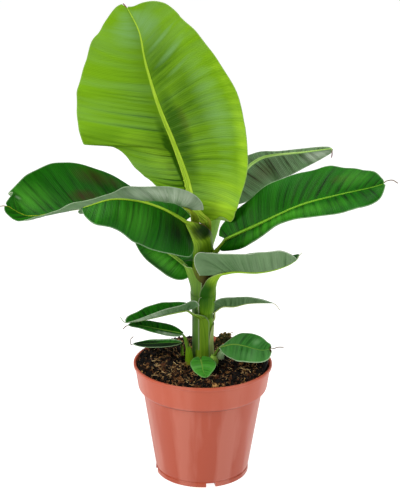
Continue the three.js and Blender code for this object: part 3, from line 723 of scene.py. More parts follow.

# sheath: height, turn, half angle and inset at each level; sheathShade and sheathDry go with those levels
# stalk: x, y, z, radius, half angle and, where it isn't under the face, the outer side; shade goes with them
# midrib: the points it runs through; face: the way the upper face looks at its base and its tip
# rib: the radius at its base and at its tip; thread: steps from the tip
# each half: length, slant and fold of the veins at each station, bow of the blade, lift of its rim, sag of
# its veins, and how deeply it is creased from base to tip
# patches: tint, half, place along the rib and out from it, reach both ways, strength (some tints paint shade,
# sheen and light)
leaves = {
    "upright": {
        "node": "leaf_upright",
        "sheath": [(150, 275, 80, 3), (205, 275, 80, 3.2), (232, 278, 85, 3.4)],
        "stalk": [(2.6, 2, 244, 5.4, 100), (2.8, 2, 253, 4.6, 100)],
        "midrib": [[3, 2, 262], [-10, 8, 276], [-19, 20, 305], [-32, 32, 338], [-47, 42, 374], [-59, 50, 413],
                   [-65, 54, 442], [-76, 55, 464]],
        "face": [[0.1, -1, 0.3], [0, -1, 0.2]],
        "stations": [0, 0.03, 0.08, 0.18, 0.27, 0.35, 0.362, 0.45, 0.55, 0.66, 0.76, 0.85, 0.92, 0.97, 1],
        "rib": [4.42, 0.5],
        "left": {
            "length": [3, 6, 12, 34, 50, 69, 98, 94, 86, 74, 60, 46, 34, 19, 7],
            "slant": [110, 76, 72, 79, 77, 71, 72, 69, 70, 74, 74, 73, 64, 50, 25],
            "fold": [16, 17, 19, 22, 25, 27, 27, 25, 23, 21, 20, 19, 18, 18, 18],
            "bow": 0.05, "rim": 1.5, "sag": 3, "creased": [1.3, 1.6, 1.6, 1.3, 0.7, 0.3, 0.1, 0],
        },
        "right": {
            "length": [16, 31, 46, 61, 74, 81, 82, 85, 81, 71, 59, 46, 24, 9, 2],
            "slant": [103, 137, 122, 110, 104, 97, 96, 86, 73, 62, 55, 50, 46, 43, 40],
            "fold": [38, 38, 37, 35, 34, 33, 33, 31, 29, 27, 25, 24, 23, 22, 22],
            "bow": -0.07, "rim": 0, "sag": -2, "creased": [0.4, 0.7, 0.8, 0.7, 0.6, 0.5, 0.3, 0.1],
        },
        "pleat": 0.6, "pitch": 6, "wave": 1.5, "smoothFrom": 0.2, "rows": 420, "columns": 30,
        "upper": "youngLamina", "under": "youngUnderside", "ribSkin": "youngRib",
        "thread": [(-1.5, -0.5, 2), (-4, -1, 5)],
        # the darkening patches by the midrib are painted shade, and the bloom bands up the right half are
        # painted sheen
        "patches": [
            ("deepenAndShade", "left", 0.25, 0.07, 0.2, 0.07, 2.2), ("deepenAndShade", "left", 0.37, 0.3, 0.06, 0.5, 0.5),
            ("deepenAndShade", "left", 0.4, 0.8, 0.06, 0.4, 0.5),
            ("deepenAndShade", "right", 0.42, 0.1, 0.24, 0.16, 1.2), ("deepenAndShade", "right", 0.52, 0.4, 0.2, 0.3, 0.7),
            ("deepenAndShade", "right", 0.72, 0.2, 0.18, 0.5, 0.8), ("bloomAndSheen", "left", 0.9, 0.3, 0.1, 0.5, 0.7),
            ("bloomAndSheen", "right", 0.9, 0.3, 0.12, 0.4, 0.75), ("bloomAndSheen", "right", 0.78, 0.45, 0.02, 0.4, 0.7),
            ("bloomAndSheen", "right", 0.7, 0.5, 0.02, 0.4, 0.6), ("bloomAndSheen", "right", 0.63, 0.5, 0.015, 0.3, 0.5),
            ("bloomAndSheen", "right", 0.45, 0.65, 0.26, 0.26, 0.5), ("fresh", "right", 0.1, 0.7, 0.14, 0.5, 0.8),
            ("fresh", "right", 0.3, 0.95, 0.3, 0.16, 0.6), ("fresh", "left", 0.33, 0.4, 0.14, 0.4, 0.5),
            ("bronze", "right", 0.45, 0.2, 0.08, 0.09, 0.7), ("bronze", "left", 0.27, 0.3, 0.03, 0.16, 0.35),
        ],
    },
    "left": {
        "node": "leaf_left",
        "sheath": [(150, 185, 60, 2.6), (215, 185, 60, 2.6), (234, 190, 62, 2.4)],
        "stalk": [(-5.5, -1, 250, 6, 90), (-8, -2.5, 266, 4.8, 95)],
        "midrib": [[-14, -9, 279], [-40, -4, 285], [-68, 3, 283], [-94, 4, 280], [-119, 4, 276],
                   [-147, 1, 272], [-172, -3, 270], [-191, -5, 280]],
        "face": [[0, 0, 1], [0.1, -0.2, 1]],
        "rib": [2.72, 0.5],
        "left": {
            "length": [14, 22, 32, 38, 43, 44, 40, 30, 16, 4],
            "slant": [160, 130, 106, 92, 80, 72, 64, 56, 48, 40],
            "fold": [70, 62, 52, 41, 34, 29, 25, 18, 2, 0],
            "bow": -0.03, "rim": 0,
        },
        "right": {
            "length": [3, 4, 4, 8, 48, 62, 52, 34, 16, 4],
            "slant": [140, 110, 84, 60, 54, 54, 50, 48, 48, 40],
            "fold": [0, 0, 0, 4, 44, 56, 46, 38, 36, 30],
            "bow": -0.04, "rim": 0,
        },
        "pleat": 0.5, "pitch": 9, "wave": 1.3, "rows": 300, "columns": 20,
        "upper": "matureLamina", "under": "bloomedUnderside", "ribSkin": "oliveRib",
        "thread": [(-4, -1, 1), (-8, -1, 0.5)], "edgeDry": 0.3,
        "patches": [
            # the pale patch on the near lobe is painted light on its shaded underside
            ("pale", "left", 0.12, 0.7, 0.2, 0.6, 0.8), ("bloomAndSheen", "right", 0.8, 0.6, 0.16, 0.5, 0.8),
            ("deepenAndShade", "right", 0.4, 0.5, 0.1, 0.6, 0.6), ("bronze", "right", 0.38, 0.7, 0.12, 0.3, 0.6),
            ("scorch", "right", 0.52, 0.25, 0.08, 0.16, 0.9), ("pale", "right", 0.8, 0.75, 0.015, 0.1, 0.8),
        ],
    },
    "frontLeft": {
        "node": "leaf_front_left",
        "sheath": [(150, 262, 85, 1.8), (190, 265, 86, 1.4), (201, 265, 86, 1.1), (212, 266, 86, 0.9),
                   (222, 267, 88, 0.7), (232, 268, 88, 0.5)],
        "sheathShade": [0, 0, 1.5, 1.2, 0.6, 0.3], "sheathDry": [0.7, 0.7, 1.3, 1.5, 1.1, 0.8],
        "edgeDry": 0.9,
        "stalk": [(-1.4, -3, 239, 10.6, 90, (-0.05, -1, 0)), (-2.2, -4, 248, 11.1, 90, (-0.1, -1, -0.05)),
                  (-4.2, -6.5, 256.5, 11.2, 92, (-0.3, -0.9, -0.2)),
                  (-8.2, -10.5, 264.5, 9.8, 94, (-0.5, -0.8, -0.35)),
                  (-12.5, -16.5, 269.5, 7.2, 94, (-0.5, -0.7, -0.6))],
        "shade": [0, 0.2, 1, 1, 0.8],
        "midrib": [[-19, -25, 272], [-37, -45, 289], [-58, -70, 304], [-84, -95, 313], [-108, -115, 311]],
        "face": [[0, 0, 1], [0, 0, 1]],
        "rib": [3.06, 0.6],
        "left": {
            "length": [20, 30, 40, 42, 44, 43, 37, 28, 14, 3],
            "slant": [146, 141, 112, 90, 80, 72, 63, 52, 42, 34],
            "fold": [-92, -68, -58, -62, -68, -60, -44, -34, -34, -30],
            "bow": 0.05, "rim": -1.5,
        },
        "right": {
            "length": [13, 14, 14, 13, 26, 38, 32, 22, 12, 3],
            "slant": [138, 122, 108, 86, 78, 72, 63, 52, 42, 34],
            "fold": [70, 68, 62, 44, -14, -42, -40, -36, -32, -30],
            "bow": 0.05, "rim": -1.5,
        },
        "pleat": 0.45, "pitch": 8.5, "wave": 1.2, "rows": 240, "columns": 20,
        "upper": "matureLamina", "under": "bloomedUnderside", "ribSkin": "heartRib",
        "patches": [("deepenAndShade", "left", 0.12, 0.4, 0.2, 0.6, 1.0),
                    ("bloomAndSheen", "left", 0.6, 0.5, 0.3, 0.5, 0.6),
                    ("bloomAndSheen", "left", 0.9, 0.4, 0.14, 0.8, 0.5)],
    },
    "backRight": {
        "node": "leaf_back_right",
        "sheath": [(150, 60, 70, 2), (215, 60, 70, 1.6), (236, 58, 70, 1.4)],
        "stalk": [(8, 12, 252, 6, 90), (14, 18, 268, 4.4, 95)],
        "midrib": [[26, 28, 290], [44, 34, 311], [56, 37, 319], [68, 38, 322], [98, 40, 325], [126, 40, 329]],
        "face": [[-0.2, 0.75, 0.6], [-0.3, 0.75, 0.5]],
        "rib": [2.38, 0.5],
        "left": {
            "length": [10, 20, 26, 32, 33, 28, 20, 13, 8, 2],
            "fold": [-20, -20, -20, -20, -20, -20, -16, -10, -4, 0],
            "bow": 0.03, "rim": 0,
        },
        "right": {
            "length": [8, 13, 16, 16, 12, 8, 7, 6, 4, 1],
            "fold": [70, 70, 75, 80, 100, 110, 100, 90, 80, 60],
            "bow": 0.05, "rim": 0,
        },
        "pleat": 0.5, "pitch": 5, "wave": 0.6, "rows": 220, "columns": 16,
        "upper": "matureLamina", "under": "bronzedUnderside", "ribSkin": "paleRib", "edgeDry": 0.5,
        "thread": [(1, 0, -5), (0.5, 0, -9)],
        "patches": [("bronze", "left", 0.3, 0.5, 0.25, 0.5, 0.5),
                    ("pale", "left", 0.85, 0.5, 0.15, 0.6, 0.8)],
    },
    "right": {
        "node": "leaf_right",
        "sheath": [(150, 330, 70, 2), (215, 330, 66, 1.2), (230, 326, 55, 0.6)],
        "stalk": [(11, -7.5, 239, 5.2, 85), (16, -11, 245, 3.6, 92)],
        "midrib": [[22, -14, 251], [54, -24, 270], [92, -36, 292], [129, -46, 306], [157, -53, 315],
                   [166, -56, 319]],
        "face": [[-0.1, -0.2, 1], [0, -0.3, 1]],
        "rib": [2.805, 0.6],
        "left": {
            "length": [9, 16, 21, 28, 40, 47, 37, 23, 11, 2],
            "slant": [136, 118, 102, 90, 80, 72, 63, 52, 42, 34],
            "fold": [50, 44, 44, 42, 28, 14, 16, 20, 24, 24],
            "bow": 0.05, "rim": 0,
        },
        "right": {
            "length": [12, 17, 18, 14, 14, 28, 37, 26, 12, 3],
            "slant": [158, 148, 134, 100, 80, 72, 63, 52, 42, 34],
            "fold": [-60, -70, -64, -40, -4, 2, 2, -8, -14, -16],
            "bow": 0.04, "rim": -2.5,
        },
        "pleat": 0.45, "pitch": 8, "wave": 1.0, "rows": 270, "columns": 20,
        "upper": "matureLamina", "under": "bloomedUnderside", "ribSkin": "palmRib", "edgeDry": 0,
        "thread": [(3, 0, 3), (8, 0, 4), (14, 0, 1)],
        "patches": [
            ("deepenAndShade", "left", 0.4, 0.5, 0.6, 0.8, 0.35), ("bronze", "left", 0.7, 0.55, 0.12, 0.25, 0.4),
            ("bloomAndSheen", "right", 0.4, 0.6, 0.35, 0.4, 0.8), ("bloomAndSheen", "left", 0.78, 0.6, 0.12, 0.5, 0.6),
        ],
    },
    "lowerRight": {
        "node": "leaf_lower_right",
        "sheath": [(121, 322, 80, 1.4), (165, 322, 78, 0.9), (183, 318, 74, 0.3), (190, 316, 70, 0.2)],
        "stalk": [(1.2, -0.6, 196, 12, 76, (0.75, -0.65, 0)), (5, -6, 204, 9, 86, (0.75, -0.65, -0.1)),
                  (10, -12.8, 211.5, 5.6, 100, (0.6, -0.6, -0.5))],
        "sheathShade": [-0.2, -0.5, -0.9, -1], "shade": [-1, -1, -0.6],
        "midrib": [[18, -21.5, 217.5], [31, -28, 222], [51, -36, 224], [68, -42, 229], [82, -46, 236],
                   [88, -48, 241]],
        "face": [[0, 0, 1], [0, 0, 1]],
        "rib": [2.55, 0.5],
        "left": {
            "length": [12, 20, 26, 30, 32, 30, 25, 17, 9, 2],
            "fold": [24, 22, 20, 20, 20, 18, 16, 14, 12, 10],
            "bow": 0.03, "rim": 0,
        },
        "right": {
            "length": [24.5, 34, 30, 29, 31, 31, 27, 17, 9, 2],
            "slant": [174, 134, 106, 88, 80, 72, 63, 52, 42, 34],
            "fold": [82, 80, 64, 52, 54, 58, 58, 56, 50, 40],
            "bow": -0.04, "rim": 0,
        },
        "pleat": 0.3, "pitch": 7, "wave": 0.9, "rows": 150, "columns": 18,
        "upper": "matureLamina", "under": "bloomedUnderside", "ribSkin": "darkSheath",
        "thread": [(2, 0, 4), (5, 0, 8)],
    },
    "lowerLeft": {
        "node": "leaf_lower_left",
        "sheath": [(121, 195, 54, -0.6), (165, 195, 52, -0.8), (182, 195, 52, -0.4), (191, 194, 64, -0.3)],
        "stalk": [(-2.2, 0, 199, 11.6, 80, (-1, -0.2, 0)), (-6.5, 0.5, 206, 9, 98, (-0.95, -0.35, -0.1)),
                  (-11.4, 2.4, 212, 6.2, 104, (-0.75, -0.45, -0.4))],
        "midrib": [[-19, 8, 217], [-28, 12, 223], [-40, 17, 229], [-52, 21, 234], [-65, 26, 238]],
        "face": [[0.1, -0.2, 1], [0, -0.2, 1]],
        "rib": [2.38, 0.5],
        "left": {
            "length": [12, 16, 18, 19, 19, 18, 15, 10, 6, 2],
            "fold": [-50, -50, -50, -50, -50, -48, -44, -40, -36, -30],
            "bow": 0.05, "rim": -1,
        },
        "right": {
            "length": [14, 20, 21, 21, 21, 20, 16, 11, 6, 2],
            "slant": [166, 130, 104, 90, 80, 72, 63, 52, 42, 34],
            "fold": [10, 30, 20, 8, 2, 2, 0, 0, 0, 0],
            "bow": 0.04, "rim": 0,
        },
        "pleat": 0.3, "pitch": 6.5, "wave": 0.7, "rows": 120, "columns": 14,
        "upper": "matureLamina", "under": "bloomedUnderside", "ribSkin": "leftSheath",
        "patches": [("bloomAndSheen", "left", 0.35, 0.45, 0.5, 0.4, 0.8),
                    ("deepenAndShade", "left", 0.4, 0.9, 0.4, 0.2, 0.8)],
    },
    "smallLeft": {
        "node": "leaf_small_left",
        "sheath": [(118, 262, 40, -0.3), (150, 262, 42, -0.4), (162, 256, 46, -0.5), (168, 248, 36, -0.8)],
        "stalk": [(-9, -12, 173, 2.6, 95)],
        "midrib": [[-17, -15, 177], [-32, -19, 175], [-49, -23, 172], [-64, -27, 170], [-75, -29, 169]],
        "face": [[0, 0, 1], [0, 0, 1]],
        "rib": [1.7, 0.4],
        "left": {
            "length": [14, 17, 14, 13, 13, 12, 10, 7, 4, 1],
            "fold": [60, 60, 55, 50, 47, 45, 40, 36, 30, 20],
            "bow": -0.05, "rim": 0,
        },
        "right": {
            "length": [10, 11, 12, 13, 15, 15, 12, 9, 5, 1],
            "fold": [20, 25, 30, 36, 42, 42, 42, 42, 40, 30],
            "bow": 0.02, "rim": 0,
        },
        "pleat": 0.2, "pitch": 5, "wave": 0.5, "rows": 100, "columns": 12,
        "upper": "matureLamina", "under": "bloomedUnderside", "ribSkin": "frontSheath",
        "thread": [(-2, 0, 1), (-6, 0, 6)],
        "patches": [("pale", "left", 0.65, 0.6, 0.35, 0.6, 0.7)],
    },
    "smallRight": {
        "node": "leaf_small_right",
        "sheath": [(118, 356, 56, 0.0), (135, 356, 54, -0.1), (150, 358, 46, -0.4), (158, 0, 30, -0.6)],
        "stalk": [(10.3, 3.6, 162.5, 2.2, 95)],
        "midrib": [[11.6, 4, 168.5], [19, 4, 174], [31, 4, 174.5], [42, 5, 177], [50, 5, 178], [69, 6, 178]],
        "face": [[0, 0, 1], [0, 0, 1]],
        "rib": [1.53, 0.4],
        "left": {
            "length": [4, 7, 9, 11, 12, 11, 9, 6, 3, 1],
            "fold": [20, 20, 20, 20, 20, 20, 18, 16, 14, 10],
            "bow": 0.03, "rim": 0,
        },
        "right": {
            "length": [6, 9, 12, 15, 17, 15, 11, 7, 4, 1],
            "fold": [60, 60, 58, 56, 56, 50, 42, 36, 30, 20],
            "bow": 0.03, "rim": 0,
        },
        "pleat": 0.2, "pitch": 5, "wave": 0.5, "rows": 100, "columns": 12,
        "upper": "matureLamina", "under": "bloomedUnderside", "ribSkin": "rightSheath",
        "thread": [(3, 0, -1), (8, 0, -7)],
    },
    "shootLeft": {
        "node": "leaf_shoot_left",
        "stalk": [(-14.6, -7, 136, 3, 100), (-17, -9, 146, 2.7, 95)],
        "midrib": [[-22, -13, 152.5], [-35, -16, 156], [-53, -20, 161.3], [-64, -22, 164], [-73, -24, 164.8]],
        "face": [[0, -0.2, 1], [0, -0.2, 1]],
        "rib": [1.02, 0.3],
        "left": {
            "length": [3, 4, 6, 8, 10, 10, 8, 6, 3, 1],
            "fold": [-6, -6, -6, -4, 0, 2, 4, 6, 6, 6],
            "bow": 0.04, "rim": 0,
        },
        "right": {
            "length": [3, 4, 6, 8, 9, 9, 8, 6, 3, 1],
            "fold": [20, 20, 20, 20, 20, 20, 20, 18, 14, 10],
            "bow": 0.04, "rim": 0,
        },
        "pleat": 0.15, "pitch": 4.5, "wave": 0.4, "rows": 90, "columns": 10,
        "upper": "matureLamina", "under": "bloomedUnderside", "ribSkin": "dimRib",
        "thread": [(-3, 0, -1), (-6, 0, -4)],
        "patches": [("pale", "left", 0.25, 0.7, 0.25, 0.4, 0.7)],
    },
    "lowLeft": {
        "node": "leaf_low_left",
        "stalk": [(-21, 12, 114, 1.6, 100), (-21, 13, 126, 1.5, 95)],
        "midrib": [[-24, 15, 131], [-36, 20, 129], [-50, 26, 126], [-62, 31, 123.5], [-71, 35, 122]],
        "face": [[0, -0.1, 1], [0, -0.1, 1]],
        "rib": [0.85, 0.3],
        "left": {
            "length": [3, 4, 5, 7, 8, 8, 7, 5, 3, 1],
            "fold": [-10, -10, -10, -10, -10, -10, -8, -6, -6, -6],
            "bow": 0.04, "rim": 0,
        },
        "right": {
            "length": [3, 4, 5, 7, 8, 8, 7, 5, 3, 1],
            "fold": [10, 10, 10, 10, 10, 8, 8, 6, 6, 6],
            "bow": 0.04, "rim": 0,
        },
        "pleat": 0.15, "pitch": 4.5, "wave": 0.4, "rows": 90, "columns": 10,
        "upper": "matureLamina", "under": "bloomedUnderside", "ribSkin": "lowRib", "edgeDry": 0,
        "thread": [(-3, 0, -1), (-4, 0, 4), (-1, 0, 8)],
        "patches": [("deepenAndShade", "left", 0.5, 0.5, 0.9, 1.2, 2.6), ("deepenAndShade", "right", 0.8, 0.2, 0.4, 0.5, 1.6),
                    ("pale", "right", 0.3, 0.9, 0.4, 0.4, 0.7)],
    },
    "shootRight": {
        "node": "leaf_shoot_right",
        "stalk": [(11, -9, 127, 2.4, 100), (13, -11, 133, 2.2, 95)],
        "midrib": [[18, -14, 138.5], [30, -16, 142], [40, -18, 141.5], [50, -20, 139.5], [59, -21, 138],
                   [67, -22, 140]],
        "face": [[0, -0.2, 1], [0.1, -0.2, 1]],
        "rib": [1.105, 0.3],
        "left": {
            "length": [1.5, 2, 3, 7, 16, 18, 16, 11, 7, 2],
            "slant": [150, 122, 102, 90, 80, 74, 70, 68, 66, 60],
            "fold": [14, 16, 18, 20, 22, 20, 18, 16, 12, 10],
            "bow": 0.06, "rim": 0,
        },
        "right": {
            "length": [2, 4, 9, 15, 18, 17, 15, 12, 8, 4],
            "slant": [164, 126, 102, 90, 82, 78, 76, 74, 74, 70],
            "fold": [-20, -24, -26, -28, -28, -26, -26, -26, -20, -10],
            "bow": 0.06, "rim": -1,
        },
        "pleat": 0.4, "pitch": 5, "wave": 0.5, "rows": 130, "columns": 16,
        "upper": "shootLamina", "under": "bloomedUnderside", "ribSkin": "dimRib",
        "thread": [(3, 0, 0.5), (8, 0, 2), (13, 0, 2)],
        "patches": [
            ("bloomAndSheen", "left", 0.62, 0.5, 0.08, 0.3, 1.0), ("bloomAndSheen", "right", 0.5, 0.6, 0.2, 0.4, 0.5),
            ("scorch", "left", 1, 0.6, 0.035, 1.2, 1.6), ("scorch", "right", 1, 0.6, 0.035, 1.2, 1.6),
        ],
    },
    "frontLow": {
        "node": "leaf_front_low",
        "stalk": [(0, -4, 121, 1.9, 100), (-1, -13, 127, 1.8, 95)],
        "midrib": [[-2, -22, 127.5], [-1, -31, 126.5], [0.5, -40, 122.5], [3, -46, 119.4]],
        "face": [[0, -0.5, 1], [0, -0.6, 1]],
        "rib": [0.765, 0.3],
        "left": {
            "length": [9, 13, 14.5, 15, 14, 11.5, 8, 5, 2.4, 1],
            "fold": [-8, -8, -8, -6, -4, -2, 0, 2, 4, 4],
            "bow": 0.06, "rim": -0.5,
        },
        "right": {
            "length": [8, 10, 11, 11, 10.5, 9, 6.5, 4, 2, 1],
            "fold": [-4, -6, -8, -8, -6, -4, 0, 2, 4, 4],
            "bow": 0.06, "rim": -0.5,
        },
        "pleat": 0.2, "pitch": 4.5, "wave": 0.6, "rows": 90, "columns": 12,
        "upper": "freshLamina", "under": "bloomedUnderside", "ribSkin": "dimRib",
    },
}

laminas = {
    # deep and light green, the pale bloom and its share, the margin, how strongly the green runs in streaks,
    # the roughness, and the depth of the fine veins
    "youngLamina": {"deep": "305a00", "light": "74a412", "bloom": "74a064", "bloomShare": 0.25,
                    "margin": "86a850", "streaks": 0.18, "roughness": 0.46, "veinDepth": 0.08},
    "youngUnderside": {"deep": "5f8c3c", "light": "88ad66", "bloom": "9fb98a", "bloomShare": 0.4,
                       "margin": "9fb980", "streaks": 0.4, "roughness": 0.55, "veinDepth": 0.14},
    "matureLamina": {"deep": "021c00", "light": "146200", "bloom": "3f8a20", "bloomShare": 0.2,
                     "margin": "7d9a72", "streaks": 0.8, "roughness": 0.38, "veinDepth": 0.14},
    "freshLamina": {"deep": "0e5008", "light": "4a9830", "bloom": "7cb86a", "bloomShare": 0.5,
                    "margin": "6aa25a", "streaks": 0.3, "roughness": 0.4, "veinDepth": 0.1},
    "shootLamina": {"deep": "0a380a", "light": "3c8032", "bloom": "5c9054", "bloomShare": 0.5,
                    "margin": "a4c09a", "streaks": 0.7, "roughness": 0.4, "veinDepth": 0.12},
    "bloomedUnderside": {"deep": "33552b", "light": "64865a", "bloom": "93ac88", "bloomShare": 0.35,
                         "margin": "b4c0aa", "streaks": 0.6, "roughness": 0.6, "veinDepth": 0.18},
    "bronzedUnderside": {"deep": "2a2a16", "light": "64885a", "bloom": "88a47c", "bloomShare": 0.45,
                         "margin": "a0b098", "streaks": 0.8, "roughness": 0.55, "veinDepth": 0.18},
}

ribSkins = {
    # the sheath round the stem, the stalk, its paler stripes, its shaded side, its dry edge, the roughness
    "youngRib": {"sheath": "4a7a0c", "body": "86b01e", "crest": "c2e04e", "shade": "0a2603", "edge": "7d4a30",
                 "roughness": 0.4},
    "heartRib": {"sheath": "264c04", "body": "6a9610", "crest": "b4d83c", "shade": "183208", "edge": "5c4420",
                 "roughness": 0.4},
    "palmRib": {"sheath": "ccd448", "body": "6aa41e", "crest": "84b83c", "shade": "123806", "edge": "6b5238",
                "roughness": 0.44},
    "budSkin": {"sheath": "809c70", "body": "8fae80", "crest": "aac29c", "shade": "2c5410", "edge": "8a7a60",
                "roughness": 0.5},
    "paleRib": {"sheath": "8ab648", "body": "92c250", "crest": "c0da8c", "shade": "2c5410", "edge": "8a6a70",
                "roughness": 0.46},
    "oliveRib": {"sheath": "557810", "body": "6a8a10", "crest": "a2b030", "shade": "1c4a06", "edge": "7a6636",
                 "roughness": 0.44},
    "stemSkin": {"sheath": "3f6a06", "body": "4f7a16", "crest": "7aa02c", "shade": "1c4a06", "edge": "6b5a38",
                 "roughness": 0.48},
    "dimRib": {"sheath": "5a8a0c", "body": "5c8a2a", "crest": "7fa648", "shade": "123806", "edge": "6b5238",
               "roughness": 0.44},
    "lowRib": {"sheath": "94bc3c", "body": "2c5a14", "crest": "4c7a2c", "shade": "123806", "edge": "6b5238",
               "roughness": 0.46},
    "darkSheath": {"sheath": "4a7c08", "body": "7aa420", "crest": "9cc03a", "shade": "1f5204",
                   "edge": "b0b890", "roughness": 0.44},
    "leftSheath": {"sheath": "4a6a34", "body": "5c8a24", "crest": "8aac4a", "shade": "1c4a10",
                   "edge": "bcc6aa", "roughness": 0.5},
    "frontSheath": {"sheath": "3f6c06", "body": "86a82c", "crest": "9cb86c", "shade": "1c4a10",
                    "edge": "8ea080", "roughness": 0.48},
    "rightSheath": {"sheath": "86a04a", "body": "b4c47a", "crest": "9cb45c", "shade": "1c4a10",
                    "edge": "b4b088", "roughness": 0.5},
}

# the colour of each tint: a code, or the name of one of the lamina's own colours
# the darkening tint is partly painted shade, the bloom tint partly painted sheen, and the pale tint partly
# painted light
tints = {"fresh": "a0cc2e", "scorch": "33200f", "bronze": "4a3218", "pale": "b9c8b2", "deepenAndShade": "deep",
         "bloomAndSheen": "bloom"}
veinPitch = 1.6
madeMaterials = {}


def laminaMaterial(name):
    # leaf blade: a waxy cuticle over close parallel veins, so its gloss and bloom run in streaks along them
    if name in madeMaterials:
        return madeMaterials[name]
    look = laminas[name]
    material, tree, shader = newMaterial(name)
    vein = addNode(tree, "ShaderNodeAttribute", out="Vector", attribute_name="vein")
    streaks = addNode(tree, "ShaderNodeTexNoise",
                      {"Vector": vein, "Scale": 1.0, "Detail": 4, "Roughness": 0.62}, "Fac")
    broad = addNode(tree, "ShaderNodeTexNoise", {"Vector": vein, "Scale": 0.3, "Detail": 3, "Roughness": 0.6},
                    "Fac")
    # painted shade: the crease valleys of the ridge field are painted darker
    ridge = addNode(tree, "ShaderNodeAttribute", out="Fac", attribute_name="ridge")
    creaseShade = addNode(tree, "ShaderNodeMath", {0: ridge, 1: 0.5}, "Value", operation="MULTIPLY")
    tone = addNode(tree, "ShaderNodeMath", {0: streaks, 1: look["streaks"], 2: creaseShade}, "Value",
                   operation="MULTIPLY_ADD")
    darkest, lightest = 0.08 + 0.5 * look["streaks"], 0.6 + 0.5 * look["streaks"]
    surface = addNode(tree, "ShaderNodeValToRGB", {"Fac": tone}, "Color",
                      stops=[(darkest, look["deep"]), (lightest, look["light"])])
    waxy = addNode(tree, "ShaderNodeMapRange", {
        "Value": broad, "From Min": 0.45, "From Max": 0.68, "To Max": look["bloomShare"]}, "Result")
    surface = addNode(tree, "ShaderNodeMix", {"Factor": waxy, "A": surface, "B": hexColour(look["bloom"])},
                      "Result", data_type="RGBA")
    # patches of each tint, broken up along the veins, some of them painted shade, painted sheen and painted
    # light
    for tint, colour in tints.items():
        colour = look.get(colour, colour)
        patch = addNode(tree, "ShaderNodeAttribute", out="Fac", attribute_name=tint)
        broken = addNode(tree, "ShaderNodeMath", {0: patch, 1: streaks}, "Value", operation="MULTIPLY")
        share = addNode(tree, "ShaderNodeMapRange", {"Value": broken, "From Min": 0.12, "From Max": 0.55},
                        "Result")
        surface = addNode(tree, "ShaderNodeMix", {"Factor": share, "A": surface, "B": hexColour(colour)},
                          "Result", data_type="RGBA")
    toMargin = addNode(tree, "ShaderNodeAttribute", out="Fac", attribute_name="edge")
    rim = addNode(tree, "ShaderNodeMapRange", {
        "Value": toMargin, "From Min": 0.3, "From Max": 1.1, "To Min": 0.85, "To Max": 0.0}, "Result")
    surface = addNode(tree, "ShaderNodeMix", {"Factor": rim, "A": surface, "B": hexColour(look["margin"])},
                      "Result", data_type="RGBA")
    tree.links.new(surface, shader.inputs["Base Color"])
    dull = addNode(tree, "ShaderNodeMapRange", {
        "Value": streaks, "To Min": look["roughness"] - 0.1, "To Max": look["roughness"] + 0.2}, "Result")
    tree.links.new(dull, shader.inputs["Roughness"])
    # fine parallel veins over the broader streaks
    along = addNode(tree, "ShaderNodeAttribute", out="Fac", attribute_name="along")
    phase = addNode(tree, "ShaderNodeMath", {0: along, 1: 2 * math.pi / veinPitch}, "Value",
                    operation="MULTIPLY")
    fine = addNode(tree, "ShaderNodeMath", {0: phase}, "Value", operation="SINE")
    height = addNode(tree, "ShaderNodeMath", {0: streaks, 1: 3.0, 2: fine}, "Value", operation="MULTIPLY_ADD")
    bump = addNode(tree, "ShaderNodeBump",
                   {"Height": height, "Strength": 0.5, "Distance": look["veinDepth"] * mm}, "Normal")
    tree.links.new(bump, shader.inputs["Normal"])
    shader.inputs["IOR"].default_value = 1.42
    shader.inputs["Specular IOR Level"].default_value = 0.1
    madeMaterials[name] = material
    return material


def stalkMaterial(name):
    # petiole, midrib and leaf base: smooth and fleshy, faintly striped along its length, with a thin dry edge
    if name in madeMaterials:
        return madeMaterials[name]
    look = ribSkins[name]
    material, tree, shader = newMaterial(name)
    fibre = addNode(tree, "ShaderNodeAttribute", out="Vector", attribute_name="fibre")
    stripes = addNode(tree, "ShaderNodeTexNoise",
                      {"Vector": fibre, "Scale": 1.0, "Detail": 3, "Roughness": 0.6}, "Fac")
    stalk = addNode(tree, "ShaderNodeValToRGB", {"Fac": stripes}, "Color",
                    stops=[(0.32, look["body"]), (0.7, look["crest"])])
    base = addNode(tree, "ShaderNodeValToRGB", {"Fac": stripes}, "Color",
                   stops=[(0.3, look["sheath"]), (0.8, look["body"])])
    low = addNode(tree, "ShaderNodeAttribute", out="Fac", attribute_name="base")
    surface = addNode(tree, "ShaderNodeMix", {"Factor": low, "A": stalk, "B": base}, "Result",
                      data_type="RGBA")
    shaded = addNode(tree, "ShaderNodeAttribute", out="Fac", attribute_name="shade")
    surface = addNode(tree, "ShaderNodeMix", {"Factor": shaded, "A": surface, "B": hexColour(look["shade"])},
                      "Result", data_type="RGBA")
    dry = addNode(tree, "ShaderNodeAttribute", out="Fac", attribute_name="dry")
    surface = addNode(tree, "ShaderNodeMix", {"Factor": dry, "A": surface, "B": hexColour(look["edge"])},
                      "Result", data_type="RGBA")
    tree.links.new(surface, shader.inputs["Base Color"])
    bump = addNode(tree, "ShaderNodeBump", {"Height": stripes, "Strength": 0.5, "Distance": 0.25 * mm},
                   "Normal")
    tree.links.new(bump, shader.inputs["Normal"])
    shader.inputs["Roughness"].default_value = look["roughness"]
    shader.inputs["IOR"].default_value = 1.42
    shader.inputs["Specular IOR Level"].default_value = 0.12
    madeMaterials[name] = material
    return material


def ribFrames(leaf, t):
    # the midrib's place, the way it runs and the way its upper face looks, at each share t of its length
    t = np.asarray(t, float)
    at, way = alongCurve(leaf["curve"], t), wayOf(leaf["curve"], t)
    face = mix(unit(leaf["face"][0]), unit(leaf["face"][1]), t[:, None])
    face = unit(face - way * np.sum(face * way, axis=1, keepdims=True))
    return at, way, face


def ribRadius(leaf, t):
    base, tip = leaf["rib"]
    return tip + (base - tip) * (1 - np.asarray(t)) ** 1.1


